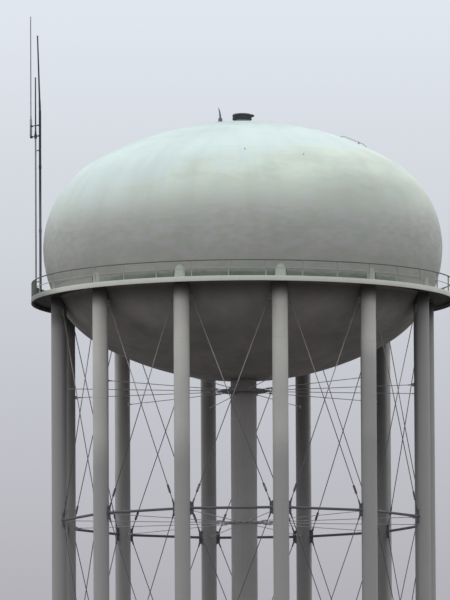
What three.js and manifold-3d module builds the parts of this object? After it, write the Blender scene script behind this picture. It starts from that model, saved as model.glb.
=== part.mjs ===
// Elevated steel water tower at half its real size
// A dished tank with a domed roof stands on a ring of twelve tubular columns around a central riser.
// Millimetres, +Z up, origin on the ground at the tower's centre, front of the tower towards -Y.
import * as THREE from 'three';
import { mergeVertices } from 'three/addons/utils/BufferGeometryUtils.js';
import Module from 'manifold-3d';

const wasm = await Module();
wasm.setup();

// Gap left between pieces that touch on the real tower
const fitGap = 0.3;

// Columns
const columnCount = 12;
const columnCircleRadius = 5480;
const columnRadius = 228.5;
const columnSides = 16;
const capHeight = 570;
const basePlateSide = 700;
const basePlateThickness = 30;
const baySpread = 360 / columnCount;

// Tank, measured on its outside
const tankSides = 36;
const tankRadius = 5850;
const knuckleRadius = 3200;
const bowlRadius = 8645;
const shoulderRadius = 2880;
const crownRadius = 8645;
const plateThickness = 30;
const fasciaBottom = 18750;
const equatorHeight = fasciaBottom + 1620;
const beltSeamHeight = fasciaBottom + 900;
const bowlSteps = 5;
const knuckleSteps = 5;
const beltSteps = 2;
const shoulderSteps = 5;
const crownSteps = 5;

// Balcony around the foot of the tank
const balconyRadius = 6210;
const fasciaHeight = 150;
const fasciaThickness = 12;
const fasciaLip = 70;
const deckThickness = 12;
const deckReach = 500;
const deckTop = fasciaBottom + 120;
const skirtRadius = 5630;
const skirtThickness = 12;
const skirtTop = fasciaBottom + 425;

// Balcony railing
const railHeight = 505;
const railRadius = 6165;
const topRailWidth = 30;
const midRailWidth = 20;
const railInset = 2;
const postWidth = 34;
const postCount = 36;

// Riser pipe under the bowl
const riserRadius = 381;
const riserSides = 24;
const riserTurn = 7.5;
const riserSink = 60;
const riserFlangeRadius = 540;
const riserFlangeThickness = 30;

// Struts and tie rods between the columns
const strutHeights = [6150, 12300];
const strutRadius = 38;
const strutSides = 6;
const rodWidth = 22;
const gussetThickness = 26;
const gussetReach = 110;
const gussetHeight = 400;
const endPlateHeight = 220;
const rodEndInset = 70;
const rodEndRise = 150;
const topRodHeight = fasciaBottom - 370;
const bottomRodHeight = 260;

// Radial tie rods from the riser to the columns
const topTieHeight = fasciaBottom - 2590;
const tieWidth = 20;
const tieLugReach = 90;
const tieLugHeight = 110;
const tieLugThickness = 26;
const collarHeight = 70;
const collarThickness = 26;
const topCollarRadius = 640;

// Vent and lightning rod on top of the roof
const ventNeckRadius = 215;
const ventNeckHeight = 85;
const ventCapRadius = 285;
const ventCapHeight = 200;
const ventRimHeight = 140;
const ventLid = [[245, 180], [120, ventCapHeight], [0, ventCapHeight]];
const rodOffset = 640;
const rodFootRadius = 62;
const rodFootHeight = 150;
const spikeFootRadius = 30;
const spikeTipRadius = 9;
const spikeHeight = 465;
const rodSides = 12;
const roofSink = 60;

// Antennas at the left end of the balcony
// Places are [to the front, outwards], with outwards turned a little from -X
const antennaTurn = -86;
const mastPlace = [440, 5927];
const mastRadius = 42;
const mastTop = fasciaBottom + 5660;
const mastFootRadius = 80;
const mastFootThickness = 16;
const mastWhipTop = fasciaBottom + 7900;
const mastWhipRadii = [21, 16];
const mastWhipLean = 2.3;
const pipeRadius = 24;
const pipeTop = fasciaBottom + 4870;
const pipeWhipTop = fasciaBottom + 6660;
const pipeWhipRadii = [18, 14];
const pipePlace = 0.39;
const linkSetback = 12;
const sideWhipPlace = [190, 6198];
const sleeveRadius = 34;
const sleeveBottom = fasciaBottom + 4880;
const sleeveTop = fasciaBottom + 5450;
const sideWhipTop = fasciaBottom + 8480;
const sideWhipRadii = [15, 12];
const armHeights = [fasciaBottom + 4920, fasciaBottom + 5235];
const armWidth = 26;
const linkHeights = [deckTop + 500, deckTop + 2600];
const antennaSides = 8;
const pipeSink = 20;

// Values worked out from those above
const degree = Math.PI / 180;
const fitRadius = fitGap / Math.cos(Math.PI / columnSides);
const knuckleCentre = tankRadius - knuckleRadius;
const bowlCentreHeight = equatorHeight
  + Math.sqrt((bowlRadius - knuckleRadius) ** 2 - knuckleCentre ** 2);
const bowlBottom = bowlCentreHeight - bowlRadius;
const bowlTurn = Math.asin(knuckleCentre / (bowlRadius - knuckleRadius)) / degree;
const seamTurn = Math.acos((equatorHeight - beltSeamHeight) / knuckleRadius) / degree;
const shoulderCentre = tankRadius - shoulderRadius;
const crownCentreHeight = equatorHeight
  - Math.sqrt((crownRadius - shoulderRadius) ** 2 - shoulderCentre ** 2);
const crownTurn = 180 - Math.asin(shoulderCentre / (crownRadius - shoulderRadius)) / degree;
const roofTop = crownCentreHeight + crownRadius;
const columnTop = fasciaBottom + capHeight;
const armTurn = Math.atan2(sideWhipPlace[1] - mastPlace[1], mastPlace[0] - sideWhipPlace[0]) / degree;
const armReach = Math.hypot(sideWhipPlace[0] - mastPlace[0], sideWhipPlace[1] - mastPlace[1]);
const pipeReach = armReach * pipePlace;
const pipeAside = pipeRadius + armWidth / 2 + fitGap;
const mastWhipRise = mastWhipRadii[0] * Math.sin(mastWhipLean * degree);
const bayRadius = columnCircleRadius * Math.cos(baySpread / 2 * degree);
const bayHalfWidth = columnCircleRadius * Math.sin(baySpread / 2 * degree);

// Paint and metal
const paint = (color, roughness = 0.55, metalness = 0.1) =>
  new THREE.MeshStandardMaterial({ color, roughness, metalness });
const tankPaint = paint(0xaab3a8);
const roofPaint = paint(0xcfdccf);
const columnPaint = paint(0x969e94);
const bracingPaint = paint(0x6d7470);
const deckPaint = paint(0x8e958b);
const fasciaPaint = paint(0xacb0a6);
const railPaint = paint(0x9aa39b);
const ventMetal = paint(0x2e3033, 0.6, 0.4);
const mastMetal = paint(0x55595c, 0.5, 0.6);
const whipFibre = paint(0xb9bdc0, 0.5, 0);

// Turns a closed three.js geometry into a solid that can be joined and cut
function toSolid(geometry) {
  const bare = geometry.clone();
  bare.deleteAttribute('normal');
  bare.deleteAttribute('uv');
  const merged = mergeVertices(bare, 0.01);
  const corners = merged.index.array;
  const triangles = [];
  for (let i = 0; i < corners.length; i += 3) {
    const [a, b, c] = [corners[i], corners[i + 1], corners[i + 2]];
    if (a !== b && b !== c && c !== a) triangles.push(a, b, c);
  }
  return new wasm.Manifold(new wasm.Mesh({
    numProp: 3,
    vertProperties: Float32Array.from(merged.attributes.position.array),
    triVerts: Uint32Array.from(triangles),
  }));
}

// Turns a solid back into a three.js geometry
function toGeometry(solid) {
  const { vertProperties, triVerts } = solid.getMesh();
  const geometry = new THREE.BufferGeometry();
  geometry.setAttribute('position', new THREE.BufferAttribute(vertProperties, 3));
  geometry.setIndex(new THREE.BufferAttribute(triVerts, 1));
  geometry.computeVertexNormals();
  return geometry;
}

function join(solids) {
  return solids.reduce((whole, solid) => whole.add(solid));
}

// A profile of [radius, height] points turned about the tower's axis
function turned(profile, sides) {
  const points = profile.map(([radius, height]) => new THREE.Vector2(radius, height));
  return new THREE.LatheGeometry(points, sides).rotateX(Math.PI / 2);
}

function ring(innerRadius, outerRadius, bottom, top, sides) {
  const profile = [
    [innerRadius, bottom], [outerRadius, bottom], [outerRadius, top], [innerRadius, top],
    [innerRadius, bottom],
  ];
  return toSolid(turned(profile, sides));
}

// An upright prism with its foot at the given height
function upright(radius, bottom, top, sides, topRadius = radius) {
  return new THREE.CylinderGeometry(topRadius, radius, top - bottom, sides)
    .rotateX(Math.PI / 2)
    .translate(0, 0, (top + bottom) / 2);
}

function box(width, depth, height) {
  return new THREE.BoxGeometry(width, depth, height);
}

// A square bar between two points of the plane y = 0
function bar(fromX, fromZ, toX, toZ, width) {
  const length = Math.hypot(toX - fromX, toZ - fromZ);
  return box(width, width, length)
    .rotateY(Math.atan2(toX - fromX, toZ - fromZ))
    .translate((fromX + toX) / 2, 0, (fromZ + toZ) / 2);
}

// The tank's outline is four arcs: the centre's distance from the axis, the centre's height and the radius
const bowlArc = [0, bowlCentreHeight, bowlRadius];
const knuckleArc = [knuckleCentre, equatorHeight, knuckleRadius];
const shoulderArc = [shoulderCentre, equatorHeight, shoulderRadius];
const crownArc = [0, crownCentreHeight, crownRadius];

// Each plate runs along one arc between two turns, in degrees from straight down over the side to straight up
const plates = {
  bowl: { arc: bowlArc, from: 0, to: bowlTurn, steps: bowlSteps },
  knuckle: { arc: knuckleArc, from: bowlTurn, to: seamTurn, steps: knuckleSteps },
  belt: { arc: knuckleArc, from: seamTurn, to: 90, steps: beltSteps },
  shoulder: { arc: shoulderArc, from: 90, to: crownTurn, steps: shoulderSteps },
  crown: { arc: crownArc, from: crownTurn, to: 180, steps: crownSteps },
};

// Points along an arc, moved out by offset
function outline([out, height, arcRadius], from, to, steps, offset) {
  const radius = arcRadius + offset;
  return Array.from({ length: steps + 1 }, (_, i) => {
    const turn = (from + (to - from) * i / steps) * degree;
    return [out + radius * Math.sin(turn), height - radius * Math.cos(turn)];
  });
}

// A tank plate with a hair's gap at each seam and none on the axis
function tankPlate({ arc, from, to, steps }) {
  const seamGap = fitGap / 2 / arc[2] / degree;
  const startsOnAxis = from === 0;
  const endsOnAxis = to === 180;
  const start = startsOnAxis ? from : from + seamGap;
  const end = endsOnAxis ? to : to - seamGap;
  const outside = outline(arc, start, end, steps, 0);
  const inside = outline(arc, start, end, steps, -plateThickness).reverse();
  const loop = endsOnAxis ? [...inside, ...outside] : [...outside, ...inside];
  if (!startsOnAxis && !endsOnAxis) loop.push(outside[0]);
  return toGeometry(toSolid(turned(loop, tankSides)));
}

// The whole tank as one mass, used to cut what meets it
function tankMass(offset) {
  const profile = Object.values(plates).flatMap(({ arc, from, to, steps }) =>
    outline(arc, from, to, steps, offset).slice(from === 0 ? 0 : 1));
  return toSolid(turned(profile, tankSides));
}

const tankCutter = tankMass(fitGap);
const columnCutter = toSolid(upright(columnRadius + fitRadius, 0, columnTop, columnSides)
  .translate(0, -columnCircleRadius, 0));
const columnTurns = Array.from({ length: columnCount }, (_, i) => (i + 0.5) * baySpread);
const columnRing = join(columnTurns.map((turn) => columnCutter.rotate([0, 0, turn])));

// A column runs up beside the foot of the tank and ends where the tank bulges over it
function column() {
  const shaft = toSolid(upright(columnRadius, 0, columnTop, columnSides)
    .translate(0, -columnCircleRadius, 0));
  const plate = toSolid(box(basePlateSide, basePlateSide, basePlateThickness)
    .translate(0, -columnCircleRadius, basePlateThickness / 2));
  return toGeometry(shaft.subtract(tankCutter).add(plate));
}

// The plates that hold the ends of rods and struts against both columns of a bay
function bayPlates(height, tall) {
  const width = columnRadius + gussetReach;
  return [-1, 1].map((side) => toSolid(box(width, gussetThickness, tall)
    .translate(side * (bayHalfWidth - width / 2), 0, height)));
}

function rodCross(bottom, top) {
  const end = bayHalfWidth - columnRadius - rodEndInset;
  return [toSolid(bar(-end, bottom, end, top, rodWidth)), toSolid(bar(end, bottom, -end, top, rodWidth))];
}

// One bay: two struts, crossed rods in three panels, and the plates at their ends
function bay() {
  const levels = [bottomRodHeight - rodEndRise, ...strutHeights, topRodHeight + rodEndRise];
  const struts = strutHeights.map((height) =>
    toSolid(upright(strutRadius, -bayHalfWidth, bayHalfWidth, strutSides)
      .rotateY(Math.PI / 2).translate(0, 0, height)));
  const rods = levels.slice(1).flatMap((top, i) => rodCross(levels[i] + rodEndRise, top - rodEndRise));
  const plates = [
    ...strutHeights.flatMap((height) => bayPlates(height, gussetHeight)),
    ...bayPlates(topRodHeight, endPlateHeight),
    ...bayPlates(bottomRodHeight, endPlateHeight),
  ];
  const columns = [-0.5, 0.5].map((side) => columnCutter.rotate([0, 0, side * baySpread]));
  const lattice = join([...struts, ...rods, ...plates]).translate([0, -bayRadius, 0]);
  return toGeometry(columns.reduce((rest, cutter) => rest.subtract(cutter), lattice));
}

// The riser pipe carries water between the ground and the bowl
function riser() {
  const pipe = toSolid(upright(riserRadius, 0, bowlBottom + riserSink, riserSides));
  const flange = toSolid(upright(riserFlangeRadius, 0, riserFlangeThickness, riserSides));
  return toGeometry(pipe.add(flange).rotate([0, 0, riserTurn]).subtract(tankCutter));
}

// Radial rods that steady the riser, with a collar around it and a lug at each column
function radialTies(height, collarRadius) {
  const inner = riserRadius + 2 * fitGap;
  const band = ring(inner, collarRadius, height - collarHeight / 2, height + collarHeight / 2, riserSides)
    .rotate([0, 0, riserTurn]);
  const from = collarRadius - collarThickness / 2;
  const rod = toSolid(box(tieWidth, columnCircleRadius - from, tieWidth)
    .translate(0, -(columnCircleRadius + from) / 2, height));
  const lugDepth = columnRadius + tieLugReach;
  const lug = toSolid(box(tieLugThickness, lugDepth, tieLugHeight)
    .translate(0, lugDepth / 2 - columnCircleRadius, height));
  const spoke = rod.add(lug);
  const spokes = columnTurns.map((turn) => spoke.rotate([0, 0, turn]));
  return toGeometry(join([band, ...spokes]).subtract(columnRing));
}

// The deck carries an upright skirt that closes the wedge under the tank's bulge
function balconyDeck() {
  const bottom = deckTop - deckThickness;
  const outerRadius = balconyRadius - fasciaThickness - fitGap;
  const plate = ring(tankRadius - deckReach, outerRadius, bottom, deckTop, tankSides);
  const skirt = ring(skirtRadius - skirtThickness, skirtRadius, bottom, skirtTop, tankSides);
  return toGeometry(plate.add(skirt).subtract(tankCutter).subtract(columnRing));
}

// The fascia is an upright ring with a lip turned in under the deck
function balconyFascia() {
  const inner = balconyRadius - fasciaThickness;
  return turned([
    [balconyRadius, fasciaBottom],
    [balconyRadius, fasciaBottom + fasciaHeight],
    [inner, fasciaBottom + fasciaHeight],
    [inner, fasciaBottom + fasciaThickness],
    [inner - fasciaLip, fasciaBottom + fasciaThickness],
    [inner - fasciaLip, fasciaBottom],
    [balconyRadius, fasciaBottom],
  ], tankSides);
}

// Two rails run from post to post; the posts are a little wider than the rails
function balconyRailing() {
  const foot = deckTop + fitGap;
  const top = deckTop + railHeight;
  const railing = (height, half) =>
    ring(railRadius - half, railRadius + half, height - half, height + half, postCount);
  const rails = [
    railing(top - railInset - topRailWidth / 2, topRailWidth / 2),
    railing(deckTop + railHeight / 2, midRailWidth / 2),
  ];
  const post = toSolid(box(postWidth, postWidth, top - foot)
    .translate(0, -railRadius, (top + foot) / 2));
  const posts = Array.from({ length: postCount }, (_, i) => post.rotate([0, 0, i * 360 / postCount]));
  return toGeometry(join([...rails, ...posts]));
}

// The neck and the lightning rod start under the roof's top and are cut by the roof itself
function ventNeck() {
  const neck = toSolid(upright(ventNeckRadius, roofTop - roofSink, roofTop + ventNeckHeight, riserSides));
  return toGeometry(neck.subtract(tankCutter));
}

// The vent's cap is a flat drum with a low domed lid, given as [radius, height] over its lower edge
function ventCap() {
  const bottom = roofTop + ventNeckHeight + fitGap;
  return turned([
    [0, bottom],
    [ventCapRadius, bottom],
    [ventCapRadius, bottom + ventRimHeight],
    ...ventLid.map(([radius, height]) => [radius, bottom + height]),
  ], riserSides);
}

// A tapered spike on a low round box
function lightningRod() {
  const foot = upright(rodFootRadius, roofTop - roofSink, roofTop + rodFootHeight, rodSides);
  const spike = upright(spikeFootRadius, roofTop, roofTop + spikeHeight, rodSides, spikeTipRadius);
  const whole = toSolid(foot).add(toSolid(spike)).translate([0, -rodOffset, 0]);
  return toGeometry(whole.subtract(tankCutter));
}

// A level bar that starts at the mast and runs along the arm's line, set to one side of it
function armBar(start, end, aside, height) {
  return toSolid(box(end - start, armWidth, armWidth).translate((start + end) / 2, aside, height));
}

// Antenna pieces are laid out from the mast along +X, then turned and moved to the balcony
function setAtMast(solid) {
  return solid.rotate([0, 0, 180 + armTurn]).translate([mastPlace[0], -mastPlace[1], 0]);
}

function antennaMast() {
  const foot = deckTop + fitGap;
  const pole = toSolid(upright(mastRadius, foot, mastTop, antennaSides));
  const flange = toSolid(upright(mastFootRadius, foot, foot + mastFootThickness, antennaSides));
  const arms = armHeights.map((height) =>
    armBar(0, armReach - sleeveRadius - fitGap, 0, height));
  return toGeometry(setAtMast(join([pole, flange, ...arms])));
}

// A tapered whip, given by the radii of its foot and its tip
function whip([footRadius, tipRadius], bottom, top) {
  return upright(footRadius, bottom, top, antennaSides, tipRadius);
}

// The mast's whip leans outwards a little from its foot
function mastWhip() {
  const foot = mastTop + fitGap + mastWhipRise;
  const leaning = whip(mastWhipRadii, 0, mastWhipTop - foot)
    .rotateY(mastWhipLean * degree)
    .translate(0, 0, foot);
  return toGeometry(setAtMast(toSolid(leaning)));
}

// The second pipe stands beside the arms and is tied back to the mast by two links
function sidePipe() {
  const foot = deckTop + fitGap;
  const pole = toSolid(upright(pipeRadius, foot, pipeTop, antennaSides).translate(pipeReach, pipeAside, 0));
  const pipeWhip = toSolid(whip(pipeWhipRadii, pipeTop - pipeSink, pipeWhipTop)
    .translate(pipeReach, pipeAside, 0));
  const links = linkHeights.map((height) => armBar(0, pipeReach, pipeAside - linkSetback, height));
  const mastHole = toSolid(upright(mastRadius + 2 * fitGap, 0, mastTop, antennaSides));
  return toGeometry(setAtMast(join([pole, pipeWhip, ...links]).subtract(mastHole)));
}

function sideWhip() {
  const sleeve = toSolid(upright(sleeveRadius, sleeveBottom, sleeveTop, antennaSides));
  const rod = toSolid(whip(sideWhipRadii, sleeveTop - pipeSink, sideWhipTop));
  return toGeometry(setAtMast(sleeve.add(rod).translate([armReach, 0, 0])));
}

const tower = new THREE.Group();

function place(name, geometry, material, turn = 0) {
  const mesh = new THREE.Mesh(geometry, material);
  mesh.name = name;
  mesh.rotation.z = turn * degree;
  tower.add(mesh);
}

const columnShape = column();
columnTurns.forEach((turn, i) => {
  place(`column_${String(i + 1).padStart(2, '0')}`, columnShape, columnPaint, turn);
});

const bayShape = bay();
for (let i = 0; i < columnCount; i += 1) {
  place(`bracing_${String(i + 1).padStart(2, '0')}`, bayShape, bracingPaint, i * baySpread);
}

place('riser', riser(), columnPaint);
place('riser_ties_lower', radialTies(strutHeights[0], riserRadius + collarThickness), bracingPaint);
place('riser_ties_middle', radialTies(strutHeights[1], riserRadius + collarThickness), bracingPaint);
place('riser_ties_upper', radialTies(topTieHeight, topCollarRadius), bracingPaint);
place('tank_bowl', tankPlate(plates.bowl), tankPaint);
place('tank_knuckle', tankPlate(plates.knuckle), tankPaint);
place('tank_belt', tankPlate(plates.belt), tankPaint);
place('tank_shoulder', tankPlate(plates.shoulder), roofPaint);
place('tank_roof', tankPlate(plates.crown), roofPaint);
place('balcony_deck', balconyDeck(), deckPaint);
place('balcony_fascia', balconyFascia(), fasciaPaint);
place('balcony_railing', balconyRailing(), railPaint);
place('roof_vent_neck', ventNeck(), roofPaint);
place('roof_vent_cap', ventCap(), ventMetal);
place('lightning_rod', lightningRod(), ventMetal, antennaTurn);
place('antenna_mast', antennaMast(), mastMetal, antennaTurn);
place('antenna_mast_whip', mastWhip(), whipFibre, antennaTurn);
place('antenna_side_pipe', sidePipe(), mastMetal, antennaTurn);
place('antenna_side_whip', sideWhip(), whipFibre, antennaTurn);

export default tower;
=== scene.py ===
# %% [markdown]
# A steel water tower, dressed in Blender.
# The real tower holds its water in a dished steel tank on a ring of twelve tubular columns, and its roof
# is 48 metres up. This scene is a model of it at half that size, in metres, with +Z up and the front
# towards -Y. It starts from a plain frame of solids with the right sizes, which it never changes, and it
# gives every solid its fine surface: smooth plates, weld beads, rods with their turnbuckles, bolts and
# weathered paint.

from math import acos, asin, atan2, cos, degrees, hypot, pi, radians, sin, sqrt

import bmesh
import bpy
from mathutils import Matrix, Vector


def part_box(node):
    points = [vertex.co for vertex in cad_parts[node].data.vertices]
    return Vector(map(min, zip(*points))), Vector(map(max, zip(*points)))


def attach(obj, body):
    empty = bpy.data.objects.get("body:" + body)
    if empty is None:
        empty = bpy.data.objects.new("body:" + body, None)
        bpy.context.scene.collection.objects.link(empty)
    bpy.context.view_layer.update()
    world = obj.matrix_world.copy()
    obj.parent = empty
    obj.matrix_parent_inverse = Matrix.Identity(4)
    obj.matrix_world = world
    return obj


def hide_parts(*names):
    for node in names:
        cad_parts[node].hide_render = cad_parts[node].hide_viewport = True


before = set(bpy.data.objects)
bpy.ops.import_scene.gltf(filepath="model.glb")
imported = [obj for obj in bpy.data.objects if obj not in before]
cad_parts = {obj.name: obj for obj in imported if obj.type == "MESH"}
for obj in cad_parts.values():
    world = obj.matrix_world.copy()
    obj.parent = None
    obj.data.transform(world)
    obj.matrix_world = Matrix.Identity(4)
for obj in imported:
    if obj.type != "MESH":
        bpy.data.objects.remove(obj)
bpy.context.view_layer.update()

# %% [markdown]
# The sizes of the fine pieces come from the frame where it can give them: the widest point of the tank,
# the lower edge of the balcony, the height of the rail. The radii of the dished plates can't be read off
# a box, so they are named here, and the heights that follow from them are worked out.

# %% Sizes of the tank and the balcony
def low(node):
    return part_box(node)[0]


def high(node):
    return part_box(node)[1]


tank_radius = high("tank_belt").x
equator = high("tank_belt").z
roof_top = high("tank_roof").z
bowl_radius = 8.645
knuckle_radius = 3.2
shoulder_radius = 2.88
crown_radius = 8.645
plate = 0.03
balcony_radius = high("balcony_fascia").x
fascia_bottom = low("balcony_fascia").z
fascia_top = high("balcony_fascia").z
skirt_top = high("balcony_deck").z
skirt_radius = 5.63
deck_top = low("balcony_railing").z
rail_top = high("balcony_railing").z
rail_circle = 6.165

knuckle_centre = tank_radius - knuckle_radius
shoulder_centre = tank_radius - shoulder_radius
bowl_centre = equator + sqrt((bowl_radius - knuckle_radius) ** 2 - knuckle_centre ** 2)
crown_centre = roof_top - crown_radius
bowl_turn = degrees(asin(knuckle_centre / (bowl_radius - knuckle_radius)))
belt_turn = degrees(acos((equator - low("tank_belt").z) / knuckle_radius))
crown_turn = 180 - degrees(asin(shoulder_centre / (crown_radius - shoulder_radius)))
print(f"tank {2 * tank_radius:.2f} m across, bowl's lowest point at {bowl_centre - bowl_radius:.2f} m")

# %% Sizes of the columns, the riser and the bracing
column_count = 12
bay_spread = 360 / column_count
column_circle = 5.48
column_radius = 0.2285
column_top = high("column_01").z
riser_radius = 0.381
strut_heights = [6.15, 12.3]
top_rod_height = fascia_bottom - 0.37
bottom_rod_height = 0.26
tie_levels = ("lower", "middle", "upper")
tie_heights = [(low(f"riser_ties_{level}").z + high(f"riser_ties_{level}").z) / 2 for level in tie_levels]
bay_radius = column_circle * cos(radians(bay_spread / 2))
bay_half_width = column_circle * sin(radians(bay_spread / 2))
print("radial rods at", [round(h, 2) for h in tie_heights], "m")

# %% [markdown]
# The photograph was taken from far off with a long lens, a little to the right of the front and from
# below the level of the balcony, so the balcony's ring shows its dark underside. A camera 274 metres away
# with a 561 millimetre lens gives the same flat look. The picture's upright lines lean by less than a
# degree, and a third of a degree of roll splits that between the uprights and the level lines.

# %% Camera
camera_turn = radians(4.0)
camera_rise = radians(-6.1)
camera_distance = 274.0
camera_roll = radians(-0.3)
aim_height = 18.85
aim_left = 0.53

camera_data = bpy.data.cameras.new("camera")
camera_data.sensor_width = 36.0
camera_data.lens = 561.0
camera_data.clip_start = 1.0
camera_data.clip_end = 1500.0
camera = bpy.data.objects.new("camera", camera_data)
bpy.context.scene.collection.objects.link(camera)
backwards = Vector((sin(camera_turn) * cos(camera_rise),
                    -cos(camera_turn) * cos(camera_rise),
                    sin(camera_rise)))
aim = Vector((-aim_left * cos(camera_turn), -aim_left * sin(camera_turn), aim_height))
camera.location = aim + backwards * camera_distance
camera.rotation_mode = "QUATERNION"
look = (-backwards).to_track_quat("-Z", "Y")
camera.rotation_quaternion = look @ Matrix.Rotation(camera_roll, 3, "Z").to_quaternion()
bpy.context.scene.camera = camera
bpy.context.scene.view_settings.view_transform = "Standard"
print("camera at", [round(c, 1) for c in camera.location])

# %% [markdown]
# Light, sky and paint are all made of shader nodes. A tree of nodes can be laid out by hand in the
# editor. In code every node is a line, and these helpers keep the line short: one makes a node, one links
# it or sets it, and the rest are the few kinds that come again and again: a sum, a soft step, a mix of
# two colours.

# %% Helpers for node trees
def node(tree, kind, **settings):
    made = tree.nodes.new(kind)
    for key, value in settings.items():
        setattr(made, key, value)
    return made


def feed(tree, socket, value):
    """Sets a socket to a number or a colour, or links another node's output to it."""
    if isinstance(value, bpy.types.NodeSocket):
        tree.links.new(value, socket)
    else:
        socket.default_value = value


def calc(tree, operation, *values, clamp=False):
    made = node(tree, "ShaderNodeMath", operation=operation, use_clamp=clamp)
    for socket, value in zip(made.inputs, values):
        feed(tree, socket, value)
    return made.outputs[0]


def times(tree, first, second):
    return calc(tree, "MULTIPLY", first, second)


print("helpers for nodes, links and sums are ready")

# %% Helpers for soft steps and colours
def ramp(tree, value, from_low, from_high, to_low=0.0, to_high=1.0, smooth=True):
    """Spreads a stretch of values over another one, with soft ends unless it is told otherwise."""
    made = node(tree, "ShaderNodeMapRange", interpolation_type="SMOOTHSTEP" if smooth else "LINEAR")
    for socket, number in zip(made.inputs, (value, from_low, from_high, to_low, to_high)):
        feed(tree, socket, number)
    return made.outputs[0]


def mix(tree, share, first, second, blend="MIX"):
    """Mixes two colours; share is 0 for the first one and 1 for the second."""
    made = node(tree, "ShaderNodeMix", data_type="RGBA", blend_type=blend)
    feed(tree, made.inputs["Factor"], share)
    feed(tree, made.inputs[6], first)
    feed(tree, made.inputs[7], second)
    return made.outputs[2]


def separate(tree, vector):
    """The three numbers of a vector: across the tower, from front to back, and up."""
    made = node(tree, "ShaderNodeSeparateXYZ")
    feed(tree, made.inputs[0], vector)
    return made.outputs["X"], made.outputs["Y"], made.outputs["Z"]


def colour(red, green, blue):
    return (red, green, blue, 1.0)


print("helpers for soft steps and colours are ready")

# %% [markdown]
# The day of the photograph is overcast: the sky overhead is bright, the horizon less so, and hardly any
# light comes from the ground, which leaves the bowl almost black. The sky behind the tower is brighter
# than the one behind the camera, so the tank's sides are paler than its front. Lamps would have to be
# many and large for that, and a world shader gives nearly all of it: bands of light, each mixed in over a
# stretch of height. One weak and very soft sun adds a little modelling from the left.
# Rays that go straight to the camera see a plain pale backdrop instead, which only darkens a little
# downwards, and below the horizon it has the floor's own tone, so that views from above don't end at the
# floor's edge.

# %% Overcast sky
ground_light = colour(0.1, 0.095, 0.095)
horizon_light = colour(0.54, 0.52, 0.525)
high_light = colour(0.99, 1.02, 1.04)
zenith_light = colour(0.98, 1.05, 1.09)
light_bands = [(-0.05, 0.05, horizon_light), (0.05, 0.55, high_light), (0.5, 1.0, zenith_light)]
front_share = 0.95
back_share = 1.25
share_reach = 0.8
backdrop_low = colour(0.46, 0.45, 0.49)
backdrop_high = colour(0.75, 0.8, 0.86)
backdrop_heights = (0.075, 0.137)
floor_tone = colour(0.655, 0.685, 0.705)
horizon_edge = -0.004

world = bpy.data.worlds.new("overcast")
world.use_nodes = True
bpy.context.scene.world = world
sky = world.node_tree
sky.nodes.clear()
_, depth, height = separate(sky, node(sky, "ShaderNodeTexCoord").outputs["Generated"])
light = ground_light
for start, full, tone in light_bands:
    light = mix(sky, ramp(sky, height, start, full), light, tone)
share = ramp(sky, depth, -share_reach, share_reach, front_share, back_share)
light = mix(sky, 1.0, light, share, blend="MULTIPLY")
backdrop = mix(sky, ramp(sky, height, *backdrop_heights, smooth=False), backdrop_low, backdrop_high)
backdrop = mix(sky, ramp(sky, height, 0.0, horizon_edge), backdrop, floor_tone)
to_camera = node(sky, "ShaderNodeLightPath").outputs["Is Camera Ray"]
shown = node(sky, "ShaderNodeBackground")
feed(sky, shown.inputs["Color"], mix(sky, to_camera, light, backdrop))
feed(sky, node(sky, "ShaderNodeOutputWorld").inputs["Surface"], shown.outputs[0])
print("sky with", len(light_bands), "bands of light")

# %% Soft sun
sun_light = bpy.data.lights.new("soft_key", "SUN")
sun_light.energy = 0.3
sun_light.angle = radians(70)
sun_light.color = (1.0, 0.99, 0.97)
sun = bpy.data.objects.new("soft_key", sun_light)
sun.rotation_euler = (radians(52), 0, radians(-55))
bpy.context.scene.collection.objects.link(sun)
print("one soft sun,", round(degrees(sun_light.angle)), "degrees wide")

# %% [markdown]
# The floor is a wide pale disc. It takes the tower's shadow, but it sends no light back up to the tank,
# because the photograph shows next to no light from below. The camera stands lower than the tower's feet,
# as on the slope of a hill, so the disc is cut straight in front of the tower. Its underside is clear, so
# a view from below isn't blocked by it: Backfacing says which side of a face a ray meets.

# %% Floor
floor_radius = 420.0
floor_front = 118.0
floor_drop = 0.002
floor_grey = colour(0.6, 0.61, 0.62)

floor_mesh = bpy.data.meshes.new("floor")
disc = bmesh.new()
bmesh.ops.create_circle(disc, cap_ends=True, segments=256, radius=floor_radius)
for vert in disc.verts:
    vert.co.y = max(vert.co.y, -floor_front)
disc.to_mesh(floor_mesh)
disc.free()
floor = bpy.data.objects.new("floor", floor_mesh)
floor.location.z = -floor_drop
floor.rotation_euler.z = camera_turn
floor.visible_diffuse = False
floor.visible_glossy = False
bpy.context.scene.collection.objects.link(floor)

floor_paint = bpy.data.materials.new("floor")
floor_paint.use_nodes = True
tree = floor_paint.node_tree
shader = tree.nodes["Principled BSDF"]
shader.inputs["Base Color"].default_value = floor_grey
shader.inputs["Roughness"].default_value = 0.9
sides = node(tree, "ShaderNodeMixShader")
feed(tree, sides.inputs[0], node(tree, "ShaderNodeNewGeometry").outputs["Backfacing"])
feed(tree, sides.inputs[1], shader.outputs[0])
feed(tree, sides.inputs[2], node(tree, "ShaderNodeBsdfTransparent").outputs[0])
feed(tree, tree.nodes["Material Output"].inputs["Surface"], sides.outputs[0])
floor_mesh.materials.append(floor_paint)
print("floor", 2 * floor_radius, "m across")

# %% [markdown]
# Steel that stands outdoors never has one colour. What wears it is the same on every piece: soft mottling
# of the paint, streaks where rain runs down, grime under the overhangs, wear on the corners, dust on the
# ledges. Each of these is a node group with named inputs, built once here and placed in each paint with
# values of its own. A group puts out only masks and heights, which are numbers from place to place, and
# the shader stays in the material.

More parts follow.
